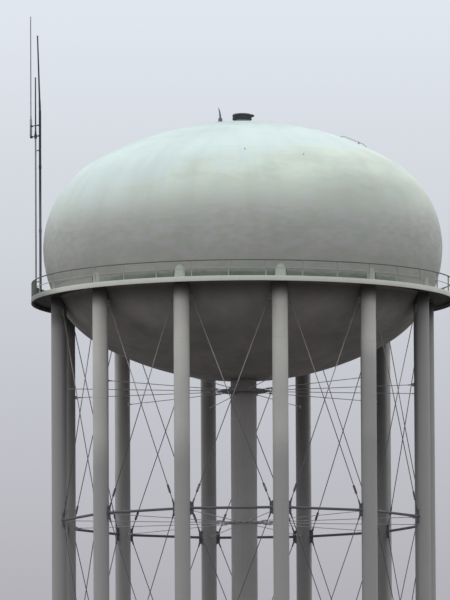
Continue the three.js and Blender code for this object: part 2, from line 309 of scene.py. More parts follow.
# %% Helper for node groups
def new_group(name, inputs, outputs):
    """A shader group; inputs are (name, value), outputs are names, and all of them are plain numbers."""
    group = bpy.data.node_groups.new(name, "ShaderNodeTree")
    for title, value in inputs:
        socket = group.interface.new_socket(name=title, in_out="INPUT", socket_type="NodeSocketFloat")
        socket.default_value = value
    for title in outputs:
        group.interface.new_socket(name=title, in_out="OUTPUT", socket_type="NodeSocketFloat")
    print("group", name, "puts out", *outputs)
    return group, node(group, "NodeGroupInput").outputs, node(group, "NodeGroupOutput").inputs


def place_group(tree, group, **values):
    """Puts a group into a material; a value's name is the input's name with _ for each space."""
    made = node(tree, "ShaderNodeGroup", node_tree=group)
    for key, value in values.items():
        feed(tree, made.inputs[key.replace("_", " ").capitalize()], value)
    return made.outputs


print("node groups can be made and placed")

# %% [markdown]
# Masks need to know where on the tower they are. Every piece here has its origin at the tower's foot, so
# its Object coordinates are places on the tower, and two columns never show the same stains. A noise
# texture makes a cloud of values around one half, and a ramp over the middle of them turns the cloud into
# patches.

# %% Helpers for places and noise
def spot_on_tower(tree):
    return node(tree, "ShaderNodeTexCoord").outputs["Object"]


def facing_way(tree):
    return node(tree, "ShaderNodeNewGeometry").outputs["Normal"]


def stretched(tree, x, y, z):
    made = node(tree, "ShaderNodeCombineXYZ")
    for socket, value in zip(made.inputs, (x, y, z)):
        feed(tree, socket, value)
    return made.outputs[0]


def cloud(tree, vector, scale, detail=3.0, rough=0.55):
    made = node(tree, "ShaderNodeTexNoise")
    feed(tree, made.inputs["Vector"], vector)
    feed(tree, made.inputs["Scale"], scale)
    made.inputs["Detail"].default_value = detail
    made.inputs["Roughness"].default_value = rough
    return made.outputs["Fac"]


def sized_cloud(tree, vector, size, detail):
    """A cloud whose patches have a size in metres."""
    return cloud(tree, vector, calc(tree, "DIVIDE", 1.0, size), detail)


def bearing_of(tree, x, y):
    """The turn around the tower's axis, 0 at the front and growing towards +X."""
    return calc(tree, "ARCTAN2", x, times(tree, y, -1.0))


def reach_of(tree, x, y):
    """The distance from the tower's axis."""
    squares = calc(tree, "ADD", calc(tree, "POWER", x, 2.0), calc(tree, "POWER", y, 2.0))
    return calc(tree, "SQRT", squares)


print("helpers for places and noise are ready")

# %% Mottling
broad_span = (0.32, 0.68)
fine_span = (0.3, 0.7)

mottling, given, out = new_group("Mottling", [("Broad size", 2.0), ("Fine size", 0.2), ("Flatness", 1.0)],
                                 ["Broad", "Fine"])
x, y, z = separate(mottling, spot_on_tower(mottling))
spot = stretched(mottling, x, y, times(mottling, z, given["Flatness"]))
broad = sized_cloud(mottling, spot, given["Broad size"], 4.0)
fine = sized_cloud(mottling, spot, given["Fine size"], 3.0)
feed(mottling, out["Broad"], ramp(mottling, broad, *broad_span))
feed(mottling, out["Fine"], ramp(mottling, fine, *fine_span))

# %% [markdown]
# Rain runs straight down a column, but on the tank it runs away from the top in every direction.
# Both are one noise that is stretched along the way the water takes. On the columns that way is the
# height. On the tank it is the distance from the top, and the way across it is the bearing around the
# tower's axis, taken as a point on a circle so that no seam shows where the bearing starts again.

# %% Rain streaks on uprights
streak_span = (0.5, 0.78)

rain, given, out = new_group("Rain streaks", [("Width", 0.05), ("Length", 3.0)], ["Mask"])
x, y, z = separate(rain, spot_on_tower(rain))
sideways = [calc(rain, "DIVIDE", way, given["Width"]) for way in (x, y)]
down = calc(rain, "DIVIDE", z, given["Length"])
runs = cloud(rain, stretched(rain, *sideways, down), 1.0)
feed(rain, out["Mask"], ramp(rain, runs, *streak_span))

# %% Rain streaks on the tank
sheet_span = (0.46, 0.74)

sheets, given, out = new_group("Sheets of rain", [("Count", 60.0), ("Length", 3.0)], ["Mask"])
x, y, z = separate(sheets, spot_on_tower(sheets))
bearing = bearing_of(sheets, x, y)
circle = calc(sheets, "DIVIDE", given["Count"], 2 * pi)
sideways = [times(sheets, calc(sheets, turn, bearing), circle) for turn in ("SINE", "COSINE")]
down = calc(sheets, "DIVIDE", calc(sheets, "SUBTRACT", reach_of(sheets, x, y), z), given["Length"])
runs = cloud(sheets, stretched(sheets, *sideways, down), 1.0, 4.0)
feed(sheets, out["Mask"], ramp(sheets, runs, *sheet_span))

# %% [markdown]
# Whatever faces down is darkened: partly soot that no rain reaches, partly painted shade under the piece.
# Dust settles on whatever faces up. Both could be painted on by hand, piece by piece. The height part of the
# normal says the same for every piece at once: -1 is straight down and 1 is straight up. A cloud makes both
# patchy.

# %% Grime and painted shade under overhangs, and dust on ledges
underside_span = (-0.05, -0.6)
ledge_span = (0.75, 0.98)
patchy_span = (0.25, 0.7)
least_dirt_and_shade = 0.55

facing, given, out = new_group("Facing", [("Patch size", 0.6)], ["Underside", "Ledge"])
_, _, lift = separate(facing, facing_way(facing))
patchy = ramp(facing, sized_cloud(facing, spot_on_tower(facing), given["Patch size"], 4.0),
              *patchy_span, least_dirt_and_shade, 1.0)
feed(facing, out["Underside"], times(facing, ramp(facing, lift, *underside_span), patchy))
feed(facing, out["Ledge"], times(facing, ramp(facing, lift, *ledge_span), patchy))

# %% [markdown]
# The side of a column that faces the riser gets painted shade, and the photograph shows the far columns much
# darker than the near ones. The mask compares the way a surface faces with the way back to the tower's axis:
# the dot product of the two is 1 where they agree.

# %% Painted shade on the inner side
inner_side_shade, given, out = new_group("Inner side shade", [("Start", -0.1), ("Full", 0.6)], ["Mask"])
flat = node(inner_side_shade, "ShaderNodeVectorMath", operation="MULTIPLY")
feed(inner_side_shade, flat.inputs[0], spot_on_tower(inner_side_shade))
flat.inputs[1].default_value = (-1.0, -1.0, 0.0)
inwards = node(inner_side_shade, "ShaderNodeVectorMath", operation="NORMALIZE")
feed(inner_side_shade, inwards.inputs[0], flat.outputs[0])
agree = node(inner_side_shade, "ShaderNodeVectorMath", operation="DOT_PRODUCT")
feed(inner_side_shade, agree.inputs[0], inwards.outputs[0])
feed(inner_side_shade, agree.inputs[1], facing_way(inner_side_shade))
feed(inner_side_shade, out["Mask"], ramp(inner_side_shade, agree.outputs["Value"], given["Start"], given["Full"]))

# %% [markdown]
# Paint goes first where steel has a corner. The Bevel node finds corners without any painting by hand: it
# rounds the normal near an edge, so wherever the rounded normal differs from the true one there is a
# corner. A noise then breaks that line up, because paint chips and doesn't wear evenly.

# %% Edge wear
corner_span = (0.99, 0.86)
chip_span = (0.42, 0.62)
chip_scale = 38.0

wear, given, out = new_group("Edge wear", [("Reach", 0.006), ("Amount", 1.0)], ["Mask"])
rounded = node(wear, "ShaderNodeBevel", samples=4)
feed(wear, rounded.inputs["Radius"], given["Reach"])
likeness = node(wear, "ShaderNodeVectorMath", operation="DOT_PRODUCT")
feed(wear, likeness.inputs[0], rounded.outputs[0])
feed(wear, likeness.inputs[1], facing_way(wear))
corner = ramp(wear, likeness.outputs["Value"], *corner_span)
chips = ramp(wear, cloud(wear, spot_on_tower(wear), chip_scale), *chip_span)
feed(wear, out["Mask"], times(wear, times(wear, corner, chips), given["Amount"]))

# %% [markdown]
# Brushed and sprayed paint is never quite flat. Two noises make its height: a fine one for the orange
# peel of the spray gun, and a broad one for the slight waves of plate that was rolled and welded.
# A Bump node turns that height into the normal of each material.

# %% Paint relief
peel_share = 0.05

relief, given, out = new_group("Paint relief",
                               [("Peel size", 0.012), ("Wave size", 0.9), ("Wave share", 0.6)],
                               ["Height"])
spot = spot_on_tower(relief)
peel = sized_cloud(relief, spot, given["Peel size"], 2.0)
wave = sized_cloud(relief, spot, given["Wave size"], 1.0)
feed(relief, out["Height"], calc(relief, "ADD", times(relief, peel, peel_share),
                                 times(relief, wave, given["Wave share"])))

# %% [markdown]
# A finish starts as a bare material with its fixed numbers. The lines after it lay one tone over another
# through masks, as a painter glazes: the mask says where, and the share says how much at most. The
# Principled shader stays in the material itself, and so do all of its numbers that are the same
# everywhere.

# %% Helpers for finishes
def new_finish(name, roughness, metallic=0.0, specular=0.5):
    material = bpy.data.materials.new(name)
    material.use_nodes = True
    tree = material.node_tree
    shader = tree.nodes["Principled BSDF"]
    shader.inputs["Roughness"].default_value = roughness
    shader.inputs["Metallic"].default_value = metallic
    shader.inputs["Specular IOR Level"].default_value = specular
    print("finish", name)
    return material, tree, shader


def lay(tree, base, tone, mask, share=1.0):
    """Lays a tone over the base where the mask is, and lets no more of it through than the share."""
    return mix(tree, times(tree, mask, share), base, tone)


def vary_roughness(tree, shader, mask, least, most, smooth=True):
    feed(tree, shader.inputs["Roughness"], ramp(tree, mask, 0.0, 1.0, least, most, smooth=smooth))


def bump(tree, shader, height_map, strength, distance):
    made = node(tree, "ShaderNodeBump")
    made.inputs["Strength"].default_value = strength
    made.inputs["Distance"].default_value = distance
    feed(tree, made.inputs["Height"], height_map)
    feed(tree, shader.inputs["Normal"], made.outputs[0])


print("helpers for finishes are ready")

# %% [markdown]
# The tank's paint is a pale mint that has chalked almost white on the crown and faded to grey lower down.
# Close by it is blotchy: above the widest point mint and sage lie side by side, below it lilac grey and olive
# grey, in patches that are wider than they are tall. On the right, just above the widest point, it is a
# little darker, which is painted shade. The crown's chalk follows the distance from the axis, with its edge
# pulled about by a noise, and reaches further down on the left. The rest follows the height.

# %% Tank paint, its body and its crown
chalk = colour(0.68, 0.79, 0.775)
chalk_shade = colour(0.4, 0.485, 0.475)
mint = colour(0.72, 0.85, 0.755)
sage = colour(0.83, 0.88, 0.755)
lilac_grey = colour(0.58, 0.56, 0.58)
olive_grey = colour(0.49, 0.525, 0.46)
weathering_and_shade = colour(0.37, 0.4, 0.36)
rinse_heights = (equator + 0.25, equator + 1.95)
rinse_pull = 0.5
chalk_pull = 0.9
chalk_tilt = 0.28

tank_paint, tree, shader = new_finish("tank_paint", 0.5, specular=0.4)
x, y, z = separate(tree, spot_on_tower(tree))
patches = place_group(tree, mottling, Broad_size=1.6, Fine_size=0.36, Flatness=2.6)
faded = mix(tree, patches["Fine"], lilac_grey, olive_grey)
fresh = mix(tree, patches["Fine"], mint, sage)
rinsed = ramp(tree, calc(tree, "ADD", z, times(tree, patches["Broad"], rinse_pull)), *rinse_heights)
base = mix(tree, rinsed, faded, fresh)
base = lay(tree, base, weathering_and_shade, patches["Broad"], share=0.3)

# Painted shade: the right front above the widest point is darker than its edge.
right_front_shade = times(tree, ramp(tree, x, 1.8, 3.4), ramp(tree, x, 5.5, 4.2))
right_front_shade = times(tree, right_front_shade, ramp(tree, z, equator + 2.3, equator + 1.0))
base = lay(tree, base, weathering_and_shade, times(tree, right_front_shade, rinsed), share=0.55)

pulled = calc(tree, "ADD", reach_of(tree, x, y), times(tree, patches["Broad"], chalk_pull))
pulled = calc(tree, "ADD", pulled, times(tree, x, chalk_tilt))
chalked = times(tree, ramp(tree, pulled, 5.9, 4.9), ramp(tree, z, equator, equator + 2.0))
crown_tone = mix(tree, ramp(tree, pulled, 4.6, 0.9), chalk, chalk_shade)
base = lay(tree, base, crown_tone, chalked, share=0.9)

# %% [markdown]
# What the weather adds comes on top: a few broad runs from the crown, and grime with a rosy cast on the
# plates of the bowl where they face down, which is partly painted shade. Just under the balcony the tank gets
# a painted shadow of the balcony.

# %% Tank paint, its streaks, grime with painted shade, and painted shadow
streak_tone = colour(0.34, 0.36, 0.34)
underside_grime_and_shade = colour(0.25, 0.25, 0.24)
under_rosy = colour(0.38, 0.33, 0.325)
shadow_black = colour(0.05, 0.048, 0.046)

streaks = place_group(tree, sheets, Count=46.0, Length=5.0)
base = lay(tree, base, streak_tone, streaks["Mask"], share=0.14)
sides = place_group(tree, facing, Patch_size=1.2)
blotches = place_group(tree, mottling, Broad_size=0.9, Fine_size=0.3)
# Downward-facing plates: rosy grime mixed with painted shade.
bowl_grime_and_shade = mix(tree, blotches["Broad"], underside_grime_and_shade, under_rosy)
base = lay(tree, base, bowl_grime_and_shade, sides["Underside"], share=0.78)
# Painted shadow of the balcony on the tank just under it.
near_deck_shadow = times(tree, ramp(tree, z, fascia_bottom - 0.6, fascia_bottom),
                  ramp(tree, z, deck_top, fascia_bottom, smooth=False))
base = lay(tree, base, shadow_black, near_deck_shadow, share=0.5)
feed(tree, shader.inputs["Base Color"], base)
vary_roughness(tree, shader, patches["Fine"], 0.42, 0.58)
surface = place_group(tree, relief, Peel_size=0.02, Wave_size=1.1, Wave_share=0.6)
bump(tree, shader, surface["Height"], 0.25, 0.01)
print(tank_paint.name, "has", len(tree.nodes), "nodes")

# %% [markdown]
# Columns, bracing and balcony have the same paint system as the tank, a shade greyer. What differs is how
# each is worn, so one function mixes them, from a base tone and a few shares. It hands its tree back as
# well, so that a paint can be changed further before it is used.

# %% Paint on the steelwork
dust_tone = colour(0.5, 0.49, 0.45)
rust_tone = colour(0.2, 0.12, 0.08)


def steelwork_paint(name, base_tone, dirt_tone, streak_share, wear_share):
    material, tree, shader = new_finish(name, 0.55, specular=0.4)
    patches = place_group(tree, mottling, Broad_size=0.9, Fine_size=0.09)
    base = lay(tree, base_tone, dirt_tone, patches["Broad"], share=0.35)
    streaks = place_group(tree, rain, Width=0.06, Length=2.4)
    base = lay(tree, base, dirt_tone, streaks["Mask"], share=streak_share)
    sides = place_group(tree, facing, Patch_size=0.4)
    # Undersides get grime mixed with painted shade.
    base = lay(tree, base, underside_grime_and_shade, sides["Underside"], share=0.6)
    base = lay(tree, base, dust_tone, sides["Ledge"], share=0.3)
    chips = place_group(tree, wear, Reach=0.006, Amount=wear_share)
    base = lay(tree, base, rust_tone, chips["Mask"])
    feed(tree, shader.inputs["Base Color"], base)
    vary_roughness(tree, shader, patches["Fine"], 0.46, 0.66)
    surface = place_group(tree, relief, Peel_size=0.01, Wave_size=0.4, Wave_share=0.3)
    bump(tree, shader, surface["Height"], 0.3, 0.004)
    return material, tree, shader, base


post_paint = steelwork_paint("post_paint", colour(0.48, 0.49, 0.46), colour(0.4, 0.41, 0.38), 0.3, 0.3)[0]
rail_paint = steelwork_paint("rail_paint", colour(0.14, 0.17, 0.145), colour(0.1, 0.12, 0.1), 0.3, 0.4)[0]
guard_paint = steelwork_paint("guard_paint", colour(0.24, 0.26, 0.235), colour(0.18, 0.195, 0.175),
                              0.3, 0.3)[0]
# The riser's paint is the steelwork's paint made darker, as painted shade under the tank.
riser_shaded_paint = steelwork_paint("riser_shaded_paint", colour(0.345, 0.335, 0.335), colour(0.27, 0.26, 0.265),
                              0.4, 0.4)[0]
radial_paint = steelwork_paint("radial_paint", colour(0.46, 0.45, 0.48), colour(0.36, 0.35, 0.38),
                               0.3, 0.3)[0]

# %% [markdown]
# Three paints go on from there. The bracing is dark and bluish low down, where it stands against the sky.
# Higher up, in front of the bowl, its rods are first pale and then brown, and the gussets at its top are
# darker, which is painted shade under the bowl. Each of these tones comes in over a stretch of height,
# measured down from the fascia's lower edge.

# %% Bracing paint
pale_rod = colour(0.43, 0.39, 0.385)
upper_rod = colour(0.29, 0.265, 0.255)
top_gusset_shade = colour(0.21, 0.2, 0.195)
# The last tone, on the gussets under the bowl, is painted shade.
rod_tones = [(3.6, 2.6, pale_rod), (2.1, 1.3, upper_rod), (0.9, 0.5, top_gusset_shade)]

bracing_paint, tree, shader, base = steelwork_paint("bracing_paint", colour(0.125, 0.125, 0.155),
                                                    colour(0.085, 0.083, 0.105), 0.4, 0.7)
_, _, z = separate(tree, spot_on_tower(tree))
for start, full, tone in rod_tones:
    base = mix(tree, ramp(tree, z, fascia_bottom - start, fascia_bottom - full), base, tone)
feed(tree, shader.inputs["Base Color"], base)

# %% [markdown]
# The balcony is bright where it faces the sky and black below, which is painted shade, and dull at its left
# end, under the antennas. The skirt behind the railing is painted dark green along the front, which is
# painted shade, and only dusty elsewhere, so its mask follows the bearing around the tower.

# %% Balcony and skirt paint
dull_fascia = colour(0.2, 0.21, 0.19)
dusty_skirt = colour(0.32, 0.335, 0.315)
front_shade_left = (radians(-47), radians(-35))
front_shade_right = (radians(64), radians(52))
front_shade_edge = (skirt_top + 0.04, skirt_top - 0.12)

balcony_paint, tree, shader, base = steelwork_paint("balcony_paint", colour(0.79, 0.81, 0.74),
                                                    colour(0.67, 0.68, 0.62), 0.4, 0.6)
x, _, _ = separate(tree, spot_on_tower(tree))
base = lay(tree, base, dull_fascia, ramp(tree, x, -4.9, -5.9), share=0.85)
sides = place_group(tree, facing, Patch_size=0.4)
# Painted shade: the balcony's downward faces go black.
base = mix(tree, calc(tree, "MULTIPLY", sides["Underside"], 1.7, clamp=True), base, shadow_black)
feed(tree, shader.inputs["Base Color"], base)

skirt_paint, tree, shader, base = steelwork_paint("skirt_paint", colour(0.135, 0.168, 0.137),
                                                  colour(0.096, 0.119, 0.096), 0.5, 0.3)
x, y, z = separate(tree, spot_on_tower(tree))
bearing = bearing_of(tree, x, y)
# Painted shade: the skirt keeps its dark green along the front, below its top edge, and is dusty elsewhere.
along_front = times(tree, ramp(tree, bearing, *front_shade_left), ramp(tree, bearing, *front_shade_right))
patches = place_group(tree, mottling, Broad_size=0.8, Fine_size=0.16, Flatness=2.5)
edge = calc(tree, "ADD", z, times(tree, patches["Fine"], 0.06))
front_shade = times(tree, along_front, ramp(tree, edge, *front_shade_edge))
front_shade = times(tree, front_shade, ramp(tree, patches["Broad"], 0.0, 1.0, 0.95, 0.7))
feed(tree, shader.inputs["Base Color"], mix(tree, front_shade, dusty_skirt, base))

# %% [markdown]
# The columns' paint needs more, because each column runs through three stretches. Above the balcony it is as
# mint as the tank. Just under the balcony it is painted black, which is a painted shadow of the balcony,
# reaching further down on the end columns. Further down it is rinsed and pale, and it is painted darker
# towards the ground; on the right and at both ends of the row that darkening is painted shade. The inner side
# has painted shade, darkest high up under the tank. Each of these is a mask over the height or over the place
# across the tower, laid on the paint of the steelwork.

# %% Column paint, its darker stretches and painted shade
darker_tone_and_shade = colour(0.3, 0.303, 0.3)
most_darkening = 0.8

column_paint, tree, shader, base = steelwork_paint("column_paint", colour(0.73, 0.72, 0.68),
                                                   colour(0.57, 0.565, 0.54), 0.4, 0.5)
x, _, z = separate(tree, spot_on_tower(tree))


def below(start, full, share):
    """A mask that grows from 0 at one depth under the fascia to its share at another one."""
    return times(tree, ramp(tree, z, fascia_bottom - start, fascia_bottom - full), share)


lower_down = calc(tree, "ADD", below(1.6, 3.2, 0.28), below(4.0, 5.3, 0.47))
# Painted shade on the columns to the right and at both ends of the row.
right_column_shade = times(tree, ramp(tree, x, 2.2, 3.4), below(1.4, 2.2, 0.4))
ends = calc(tree, "MAXIMUM", ramp(tree, x, 4.2, 5.2), ramp(tree, x, -4.3, -5.2))
darkening_and_shade = calc(tree, "MINIMUM", calc(tree, "ADD", lower_down, right_column_shade), most_darkening)
darkening_and_shade = calc(tree, "MAXIMUM", darkening_and_shade, times(tree, ends, most_darkening))
base = mix(tree, darkening_and_shade, base, darker_tone_and_shade)

# %% Column paint, its painted shade on the inner side, painted shadow under the deck, and caps
inner_shade_tone = colour(0.16, 0.155, 0.165)
cap_mint = colour(0.5, 0.555, 0.485)
cap_grey = colour(0.42, 0.44, 0.41)

# Painted shade on the inner side, darkest high up under the tank.
inner_shade_mask = place_group(tree, inner_side_shade, Start=-0.1, Full=0.6)
inner_shade_share = calc(tree, "SUBTRACT", ramp(tree, x, -3.8, 1.0, 0.52, 0.88), below(3.8, 6.2, 0.3))
base = mix(tree, times(tree, inner_shade_mask["Mask"], inner_shade_share), base, inner_shade_tone)
# Painted shadow of the balcony: black just under the deck, reaching further down on the end columns.
under_deck_shadow = times(tree, ramp(tree, z, fascia_bottom - 0.55, fascia_bottom - 0.05), 0.82)
corners = calc(tree, "ADD", ramp(tree, x, -4.3, -5.2, 0.0, 0.55), ramp(tree, x, 4.2, 5.2, 0.0, 0.08))
corners = times(tree, corners, ramp(tree, z, fascia_bottom - 0.95, fascia_bottom - 0.45))
base = mix(tree, calc(tree, "MAXIMUM", under_deck_shadow, corners), base, shadow_black)
cap_tone = mix(tree, ramp(tree, calc(tree, "ABSOLUTE", x), 1.8, 4.4), cap_mint, cap_grey)
base = mix(tree, ramp(tree, z, deck_top - 0.02, deck_top, smooth=False), base, cap_tone)
feed(tree, shader.inputs["Base Color"], base)
print(column_paint.name, "has", len(tree.nodes), "nodes")

# %% [markdown]
# The vent's cap is dark and dull, with a dusting of pale dirt on top. Its mottling serves three times: it
# mixes the tones, it makes the surface now duller and now glossier, and it raises a slight relief.

# %% Vent finish
vent_dark = colour(0.03, 0.034, 0.044)
vent_worn = colour(0.055, 0.058, 0.068)
bare_edge = colour(0.2, 0.2, 0.21)

vent_metal, tree, shader = new_finish("vent_metal", 0.5, metallic=0.3)
patches = place_group(tree, mottling, Broad_size=0.2, Fine_size=0.03)
base = mix(tree, patches["Broad"], vent_dark, vent_worn)
sides = place_group(tree, facing, Patch_size=0.1)
base = lay(tree, base, dust_tone, sides["Ledge"], share=0.15)
chips = place_group(tree, wear, Reach=0.004, Amount=0.6)
base = lay(tree, base, bare_edge, chips["Mask"])
feed(tree, shader.inputs["Base Color"], base)
vary_roughness(tree, shader, patches["Fine"], 0.4, 0.62)
bump(tree, shader, patches["Fine"], 0.2, 0.002)

# %% [markdown]
# The pipes are galvanised: zinc grows crystals that show as patches with straight edges, which is what a
# Voronoi texture draws. Each of its cells has a random colour that stays the same in each run, and two of
# that colour's channels give the crystal's tone and its gloss. The mast has dark paint over the zinc, at
# its foot and on its upper half.

# %% Galvanised pipe
crystal_scale = 45.0


def galvanised(name, dark, pale, metallic):
    material, tree, shader = new_finish(name, 0.5, metallic=metallic)
    crystals = node(tree, "ShaderNodeTexVoronoi", feature="F1")
    crystals.inputs["Scale"].default_value = crystal_scale
    feed(tree, crystals.inputs["Vector"], spot_on_tower(tree))
    tone = node(tree, "ShaderNodeSeparateColor")
    feed(tree, tone.inputs[0], crystals.outputs["Color"])
    base = mix(tree, tone.outputs[0], dark, pale)
    streaks = place_group(tree, rain, Width=0.02, Length=1.2)
    base = lay(tree, base, dark, streaks["Mask"], share=0.5)
    feed(tree, shader.inputs["Base Color"], base)
    vary_roughness(tree, shader, tone.outputs[1], 0.4, 0.62, smooth=False)
    return material, tree, shader, base


pipe_metal = galvanised("pipe_metal", colour(0.26, 0.25, 0.3), colour(0.38, 0.365, 0.42), 0.3)[0]
spike_metal = galvanised("spike_metal", colour(0.12, 0.12, 0.16), colour(0.2, 0.2, 0.26), 0.2)[0]

mast_navy = colour(0.022, 0.02, 0.05)
mast_metal, tree, shader, base = galvanised("mast_metal", colour(0.12, 0.115, 0.15), colour(0.2, 0.19, 0.235),
                                            0.3)
_, _, z = separate(tree, spot_on_tower(tree))
coated = calc(tree, "MAXIMUM", ramp(tree, z, fascia_bottom + 2.4, fascia_bottom + 3.6),
              ramp(tree, z, rail_top + 0.25, rail_top - 0.05))
feed(tree, shader.inputs["Base Color"], lay(tree, base, mast_navy, coated, share=0.9))

# %% [markdown]
# The whips are glass-fibre rods, matt, with a faint grain along their length. The streaks of rain, made
# very thin, do for that grain, both in its tone and in its relief.

# %% Whip finishes
def fibreglass(name, dark, pale):
    material, tree, shader = new_finish(name, 0.6)
    grain = place_group(tree, rain, Width=0.004, Length=0.5)
    patches = place_group(tree, mottling, Broad_size=0.5, Fine_size=0.02)
    base = mix(tree, patches["Broad"], dark, pale)
    base = lay(tree, base, dark, grain["Mask"], share=0.4)
    feed(tree, shader.inputs["Base Color"], base)
    bump(tree, shader, grain["Mask"], 0.15, 0.001)
    return material


pale_fibre = fibreglass("pale_fibreglass", colour(0.3, 0.32, 0.37), colour(0.42, 0.44, 0.48))
dark_fibre = fibreglass("dark_fibreglass", colour(0.028, 0.026, 0.055), colour(0.055, 0.052, 0.095))

# %% [markdown]
# Almost everything on a tower is made of a few shapes: something turned about an axis, a round bar along
# a line, and a flat plate. Blender's own operators could make them, but they depend on what is selected.
# Here each shape has a function that gives back its corners and faces, and a Shape collects them into one
# mesh: numbers in, geometry out, so each run is the same. All three work with rows of corners, and the
# faces are bridged from each row to the next.

# %% Rows of corners
def next_row(corners, count):
    """The numbers that the next so many corners will have."""
    return list(range(len(corners), len(corners) + count))


def bridge(first, second):
    """Faces between two rows of corner numbers that run round; a row of one number repeated is a point."""
    faces = []
    count = len(first)
    for i in range(count):
        j = (i + 1) % count
        face = [first[i], first[j], second[j], second[i]]
        face = [corner for n, corner in enumerate(face) if corner != face[n - 1]]
        if len(face) > 2:
            faces.append(face)
    return faces


def skin(rows, closed=False):
    """Faces from each row to the next one, and from the last to the first if it is closed."""
    pairs = list(zip(rows, rows[1:])) + ([(rows[-1], rows[0])] if closed else [])
    return [face for pair in pairs for face in bridge(*pair)]


def lids(rows):
    """One face over the first row and one over the last."""
    return [list(reversed(rows[0])), rows[-1]]


print("two rows of six corners make", len(skin([range(6), range(6, 12)])), "faces")

# %% Collecting corners and faces
class Shape:
    """Corners and faces collected for one piece, in metres."""

    def __init__(self):
        self.corners = []
        self.faces = []

    def add(self, part, place=None):
        corners, faces = part
        start = len(self.corners)
        if place is not None:
            corners = [place @ Vector(corner) for corner in corners]
        self.corners += [tuple(corner) for corner in corners]
        self.faces += [[start + i for i in face] for face in faces]
        return self


print("an empty shape has", len(Shape().corners), "corners")

# %% Turned shapes
on_axis = 1e-6


def on_circle(radius, turn, at):
    """A point around the tower's axis; a turn of 0 is at the front, and it grows towards +X."""
    return radius * sin(turn), -radius * cos(turn), at


def turned(profile, sides, closed=False):
    """A profile of (radius, height), upwards on the outside, turned about Z; it starts and ends on the axis
    or closes."""
    turns = [2 * pi * i / sides for i in range(sides)]
    corners, rows = [], []
    for radius, at in profile:
        if radius < on_axis:
            rows.append([len(corners)] * sides)
            corners.append((0.0, 0.0, at))
        else:
            rows.append(next_row(corners, sides))
            corners += [on_circle(radius, turn, at) for turn in turns]
    return corners, skin(rows, closed)


print("a turned cone of six sides has", len(turned([(0, 0), (1, 0), (0, 1)], 6)[1]), "faces")

# %% Round bars
def bar(path, radius, sides=12, loop=False):
    """A round bar along a path of points; radius is one number, or one for each point."""
    path = [Vector(point) for point in path]
    sizes = radius if isinstance(radius, (list, tuple)) else [radius] * len(path)
    steps = len(path)
    turns = [2 * pi * i / sides for i in range(sides)]
    corners, rows = [], []
    side = None
    for n, point in enumerate(path):
        before = path[n - 1] if loop or n else point
        after = path[(n + 1) % steps] if loop or n < steps - 1 else point
        along = (after - before).normalized()
        if side is None:
            side = along.orthogonal().normalized()
        side = (side - along * side.dot(along)).normalized()
        other = along.cross(side)
        rows.append(next_row(corners, sides))
        corners += [point + (side * cos(t) + other * sin(t)) * sizes[n] for t in turns]
    return corners, skin(rows, loop) + ([] if loop else lids(rows))


print("a round bar of one length has", len(bar([(0, 0, 0), (0, 0, 1)], 0.1)[1]), "faces")

# %% Flat plates
diagonal = 1.4
eased = 0.001


def slab(outline, thickness, chamfer=0.0):
    """A flat plate: an outline of (x, z) points, thick along Y, its corners eased by a chamfer."""
    middle_x = sum(x for x, _ in outline) / len(outline)
    middle_z = sum(z for _, z in outline) / len(outline)
    half = thickness / 2
    levels = [(-half, chamfer), (-half + chamfer, 0), (half - chamfer, 0), (half, chamfer)]
    if not chamfer:
        levels = [(-half, 0), (half, 0)]
    corners, rows = [], []
    for y, inset in levels:
        rows.append(next_row(corners, len(outline)))
        for x, z in outline:
            reach = hypot(x - middle_x, z - middle_z)
            share = (reach - inset * diagonal) / reach
            corners.append((middle_x + (x - middle_x) * share, y, middle_z + (z - middle_z) * share))
    return corners, skin(rows) + lids(rows)


def block(width, depth, tall, chamfer=0.0):
    """A box around the origin."""
    half_x, half_z = width / 2, tall / 2
    outline = [(-half_x, -half_z), (half_x, -half_z), (half_x, half_z), (-half_x, half_z)]
    return slab(outline, depth, chamfer)


print("a block with eased corners has", len(block(1, 1, 1, 0.1)[1]), "faces")

# %% [markdown]
# Pieces are made at the front or on the axis, and a matrix then moves and turns them to their place. The
# columns stand half a bay off the front, so that a whole bay faces the camera.

# %% Moves and turns
def move(x, y, z):
    return Matrix.Translation((x, y, z))


def spin(turn, axis="Z"):
    """A turn in degrees; about Z, a piece made at the front goes round towards +X."""
    return Matrix.Rotation(radians(turn), 4, axis)


def around(count, start=0.0):
    """So many turns in degrees, evenly round the tower."""
    return [start + 360 * i / count for i in range(count)]


column_turns = [(i + 0.5) * bay_spread for i in range(column_count)]
print("columns stand at", column_turns[0], "degrees from the front, and every", bay_spread, "from there")

# %% [markdown]
# A shape becomes a piece of the tower in one function, so that all pieces get the same care. Its faces are
# shaded smooth, and edges that turn by more than 32 degrees stay sharp. It moves the mesh to its place and
# leaves the object alone, so the origin stays at the tower's foot. Then it puts the piece on the root body
# and hides the solids of the frame that it stands for.

# %% Finishing pieces
sharp_turn = radians(32)
triangle_count = {}


def finish_piece(name, shape, finish, slot, *stands_for, place=None):
    """Makes the mesh, shades it and puts it on the tower for the solids that it stands for."""
    mesh = bpy.data.meshes.new(name)
    mesh.from_pydata(shape.corners, [], shape.faces)
    if place is not None:
        mesh.transform(place)
    work = bmesh.new()
    work.from_mesh(mesh)
    bmesh.ops.recalc_face_normals(work, faces=work.faces)
    for face in work.faces:
        face.smooth = True
    for edge in work.edges:
        if len(edge.link_faces) == 2 and edge.calc_face_angle() > sharp_turn:
            edge.smooth = False
    triangle_count[name] = sum(len(face.verts) - 2 for face in work.faces)
    work.to_mesh(mesh)
    work.free()
    piece = bpy.data.objects.new(name, mesh)
    mesh.materials.append(finish)
    bpy.context.scene.collection.objects.link(piece)
    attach(piece, "root")
    if stands_for:
        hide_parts(*stands_for)


print("edges that turn by more than", round(degrees(sharp_turn)), "degrees stay sharp")

